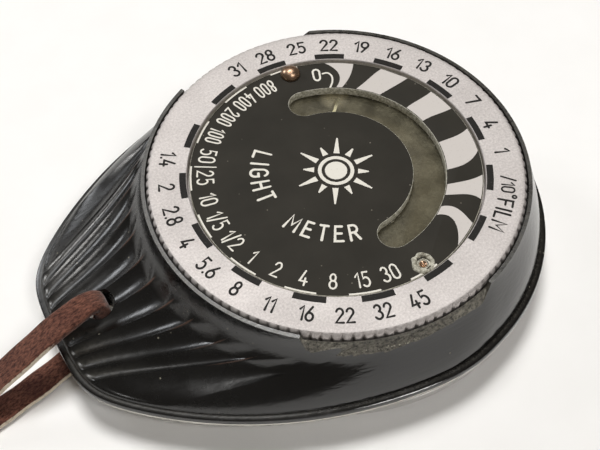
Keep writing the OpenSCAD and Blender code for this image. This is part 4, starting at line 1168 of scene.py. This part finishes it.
# %% The finishes, one for each slot of the record
finishes = {
    "bakelite": bakelite, "ring_aluminium": anodised, "dial_black": enamel, "copper_rivet": copper,
    "clear_celluloid": celluloid, "scale_paint": scale_paint, "needle_paint": lacquer,
    "lace_leather": suede,
    # Rolled tinplate: bright, with rolling marks along the case
    "plate_metal": metal("tinplate", "#DAD8D2", "#B9B6AE", 0.3, 0.3, (0.1, 1, 1)),
    # Chromium plate over a spun pressing: a hard mirror that has hazed a little
    "chromed": metal("chromium_plate", "#E4E2E0", "#CFCCCA", 0.2, 0.5),
    # Turned and zinc plated steel
    "screw_steel": metal("zinc_plated_steel", "#B9B6AE", "#96928A", 0.35, 0.2),
    # Cartridge brass, stamped and slightly dulled
    "brass_part": metal("stamped_brass", "#C9A45C", "#9C7A3C", 0.32, 0.3),
    # Phosphor bronze strip
    "spring_bronze": metal("phosphor_bronze", "#C08F58", "#9A6B3C", 0.35, 0.2),
    # Blued spring steel, rubbed bright
    "spring_steel": metal("spring_steel", "#A9A8A6", "#7C7B7A", 0.3, 0.2),
    # Cast aluminium, nickel and cobalt magnet, ground on its faces only
    "magnet_alloy": metal("cast_magnet_alloy", "#75767A", "#4F5054", 0.6, 0.5),
    # Soft iron, turned and phosphated
    "soft_iron": metal("soft_iron", "#8C8B88", "#66645F", 0.45, 0.3),
    # Rolled aluminium foil former
    "coil_former": metal("aluminium_former", "#C9CBCD", "#A7A9AB", 0.35, 0.2),
    # Enamelled copper wire: each turn is 0.1 mm, drawn at 0.2 mm
    "copper_wire": metal("enamelled_copper_wire", "#B8602F", "#7E3517", 0.3, 0.2, (1, 1, 0.1)),
    # Selenium on iron: grey, crystalline and dull
    "selenium_plate": metal("selenium_layer", "#5B564F", "#3B3731", 0.5, 0.4),
    # Rubber cord gasket
    "gasket_rubber": sheet_stock("gasket_rubber", "#1E1D1C", "#2C2B29", 0.8, {"Roughness": 0.8}),
    # Black light-tight card, matt on both faces
    "black_card": sheet_stock("black_card", "#1F1E1C", "#2E2C29", 0.4, {"Roughness": 0.9}),
    # Paper laminated with phenolic resin, brown and faintly woven
    "paxolin": sheet_stock("paper_laminate", "#8A6237", "#5F3F20", 1.0, {"Roughness": 0.45}),
    # Synthetic ruby, a clear red stone
    "ruby": sheet_stock("synthetic_ruby", "#A31836", "#7C0F28", 0.8,
                        {"Roughness": 0.08, "IOR": 1.76}),
    # Baked lacquer on a wound resistor
    "resistor_lacquer": sheet_stock("resistor_lacquer", "#6B7A4C", "#52603A", 1.2,
                                    {"Roughness": 0.35}),
    # Varnished cotton sleeve
    "lead_sleeve": sheet_stock("varnished_sleeve", "#8E2B22", "#5F1813", 0.3, {"Roughness": 0.5}),
}
# Moulded clear glass plate: greenish grey at the edges, so most light goes through
glass, tree, shader, at = new_material("moulded_glass", "#C9D2CE", {
    "Alpha": 0.45, "IOR": 1.52, "Roughness": 0.06, "Specular IOR Level": 0.7})
seeds = add(tree, "TexNoise", {"Vector": at, "Scale": every(1.5), "Detail": 2.0})
clear = add(tree, "Mix", {0: seeds.outputs["Fac"], 6: srgb("#B7C2BD"), 7: srgb("#D8DFDC")},
            data_type="RGBA")
tree.links.new(clear.outputs[2], shader.inputs["Base Color"])
finishes["clear_lens"] = glass
for part in frame["record"]["subparts"]:
    node, finish = frame["nodes"][part["node"]], finishes[part["material_slot"]]
    if not node.material_slots:
        node.data.materials.append(finish)
    for place in node.material_slots:
        place.material = finish

# %% [markdown]
# ## The back
#
# Under the case lie a thin metal plate, whose edge shows as a bright line all round, and the
# bezel of the cell, a spun pressing with a rounded shoulder. The cell's window is moulded with a
# honeycomb of small lenses. Its underside is a height over a round grid: each point takes the
# height of the nearest lens, a cap over the middle of a hexagon.

# %% Plate, bezel and screws
bevelled("back_plate", "tin_back_plate", finishes["plate_metal"], "case", 0.06)
bevelled("case_screws", "countersunk_screws", finishes["screw_steel"], "case",
         0.05)
bezel_profile = [(23.0, 0.95), (23.0, 0.5), (23.1, 0.25), (23.3, 0.08), (23.6, 0.0), (26.5, 0.0),
                 (27.1, 0.04), (27.7, 0.2), (28.2, 0.45), (28.6, 0.85), (28.85, 1.3), (29.05, 1.9),
                 (29.3, 3.0), (29.48, 3.9), (29.52, 4.3), (29.45, 4.48), (25.2, 4.48), (25.2, 1.0)]
bezel = make_piece("spun_bezel", [grid_part(revolve(bezel_profile, 240), True, True)],
                   finishes["chromed"], "case", crease=40)
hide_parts("cell_bezel")

# %% Honeycomb window
lens_r, lens_low, lens_top, lens_pitch, lens_deep = 25.1, 1.2, 2.4, 4.6, 0.5


def honeycomb(x, y, pitch):
    """Distance in mm to the middle of the nearest hexagon: the nearer of two rectangular lattices
    that are half a step apart."""
    tall = pitch * math.sqrt(3)
    spans = [np.hypot((x - dx + pitch / 2) % pitch - pitch / 2,
                      (y - dy + tall / 2) % tall - tall / 2)
             for dx, dy in ((0, 0), (pitch / 2, tall / 2))]
    return np.minimum(*spans)


reach = np.concatenate([np.linspace(0.02, 22.6, 96), [23.2, lens_r]])[:, None]
turn = (np.arange(220) / 220 * TAU)[None, :]
x, y = reach * np.cos(turn), reach * np.sin(turn)
cap_height = lens_deep * np.maximum(0, 1 - (honeycomb(x, y, lens_pitch) / (lens_pitch * 0.58)) ** 2)
under = lens_low + 0.45 - np.where(reach < 22.5, cap_height, 0.45)
lens_grid = np.concatenate([np.stack([x, y, under], -1),
                            np.stack([x[::-97], y[::-97], np.full_like(x[::-97], lens_top)], -1)])
lens = make_piece("honeycomb_window", [grid_part(lens_grid, True, True)], glass, "case",
                  crease=50)
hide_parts("cell_window")

# %% [markdown]
# ## Light and table
#
# The meter lies on white paper. The main light comes from high up and a little behind, and a
# weaker one from the front fills its shadow. A small softbox behind and to the left draws the
# bright lines on the far flutes. The sky is dim, because black resin shows whatever is around it.

# %% Paper
# White drawing paper: matt, and faintly clouded over 8 mm.
paper, tree, shader, at = new_material("drawing_paper", "#F7F6F4", {
    "Roughness": 0.95, "Specular IOR Level": 0.1})
clouded = add(tree, "TexNoise", {"Vector": at, "Scale": every(8), "Detail": 5.0})
sheet_white = add(tree, "Mix", {0: clouded.outputs["Fac"], 6: srgb("#F4F3F1"), 7: srgb("#FAF9F8")},
                  data_type="RGBA")
# Painted shade: from 140 mm to 450 mm away from the meter the paper turns grey, and the gloss of the
# resin mirrors it.
from_case = add(tree, "VectorMath", {0: at, 1: (5 * MM, 15 * MM, 0)}, operation="DISTANCE")
painted_shade_far_out = add(tree, "MapRange", {"Value": from_case.outputs["Value"], "From Min": 0.14,
                                "From Max": 0.45}, interpolation_type="SMOOTHSTEP")
paper_and_painted_shade = add(tree, "Mix", {0: painted_shade_far_out.outputs["Result"], 6: sheet_white.outputs[2],
                          7: srgb("#AEACA9")}, data_type="RGBA")
tree.links.new(paper_and_painted_shade.outputs[2], shader.inputs["Base Color"])
half_floor, floor_z = 4000, -0.03
floor_mesh = bpy.data.meshes.new("paper_floor")
floor_mesh.from_pydata([(x * MM, y * MM, floor_z * MM) for x, y in (
    (-half_floor, -half_floor), (half_floor, -half_floor), (half_floor, half_floor),
    (-half_floor, half_floor))], [], [(0, 1, 2, 3)])
floor_mesh.materials.append(paper)
floor = bpy.data.objects.new("paper_floor", floor_mesh)
bpy.context.scene.collection.objects.link(floor)
print("floor", half_floor * 2, "mm wide")


# %% Lamps
def lamp_towards(name, kind, direction, power, colour, distance=1.0, **settings):
    """Lamp of a kind, seen from the meter along a direction and turned to it. settings are the
    lamp's own: a sun's angle in radians, or a softbox's size in m."""
    lamp = bpy.data.lights.new(name, kind)
    lamp.energy, lamp.color = power, srgb(colour)[:3]
    for setting, value in settings.items():
        setattr(lamp, setting, value)
    holder = bpy.data.objects.new(name, lamp)
    bpy.context.scene.collection.objects.link(holder)
    towards = np.array(direction, float) / np.linalg.norm(direction)
    across = np.cross([0, 0, 1], towards)
    across /= np.linalg.norm(across)
    place = np.eye(4)
    place[:3, :3] = np.stack([across, np.cross(towards, across), towards], axis=1)
    place[:3, 3] = towards * distance
    holder.matrix_world = Matrix(place.tolist())
    print(f"{name}: {kind.lower()}, power {power}")


lamp_towards("key_light", "SUN", (0.08, 0.31, 0.95), 2.28, "#FFFEFC", angle=math.radians(20))
lamp_towards("front_light", "SUN", (0.15, -0.55, 0.82), 0.75, "#FFFDFA", angle=math.radians(14))
lamp_towards("window_light", "AREA", (-0.45, 0.8, 0.5), 1.5, "#F8FBFF", distance=0.9, size=0.24)
world = bpy.data.worlds.new("room")
world.use_nodes = True
sky = world.node_tree.nodes["Background"]
sky.inputs["Color"].default_value = srgb("#FFF8EE")
sky.inputs["Strength"].default_value = 0.11
bpy.context.scene.world = world
bpy.context.scene.view_settings.view_transform = "Standard"
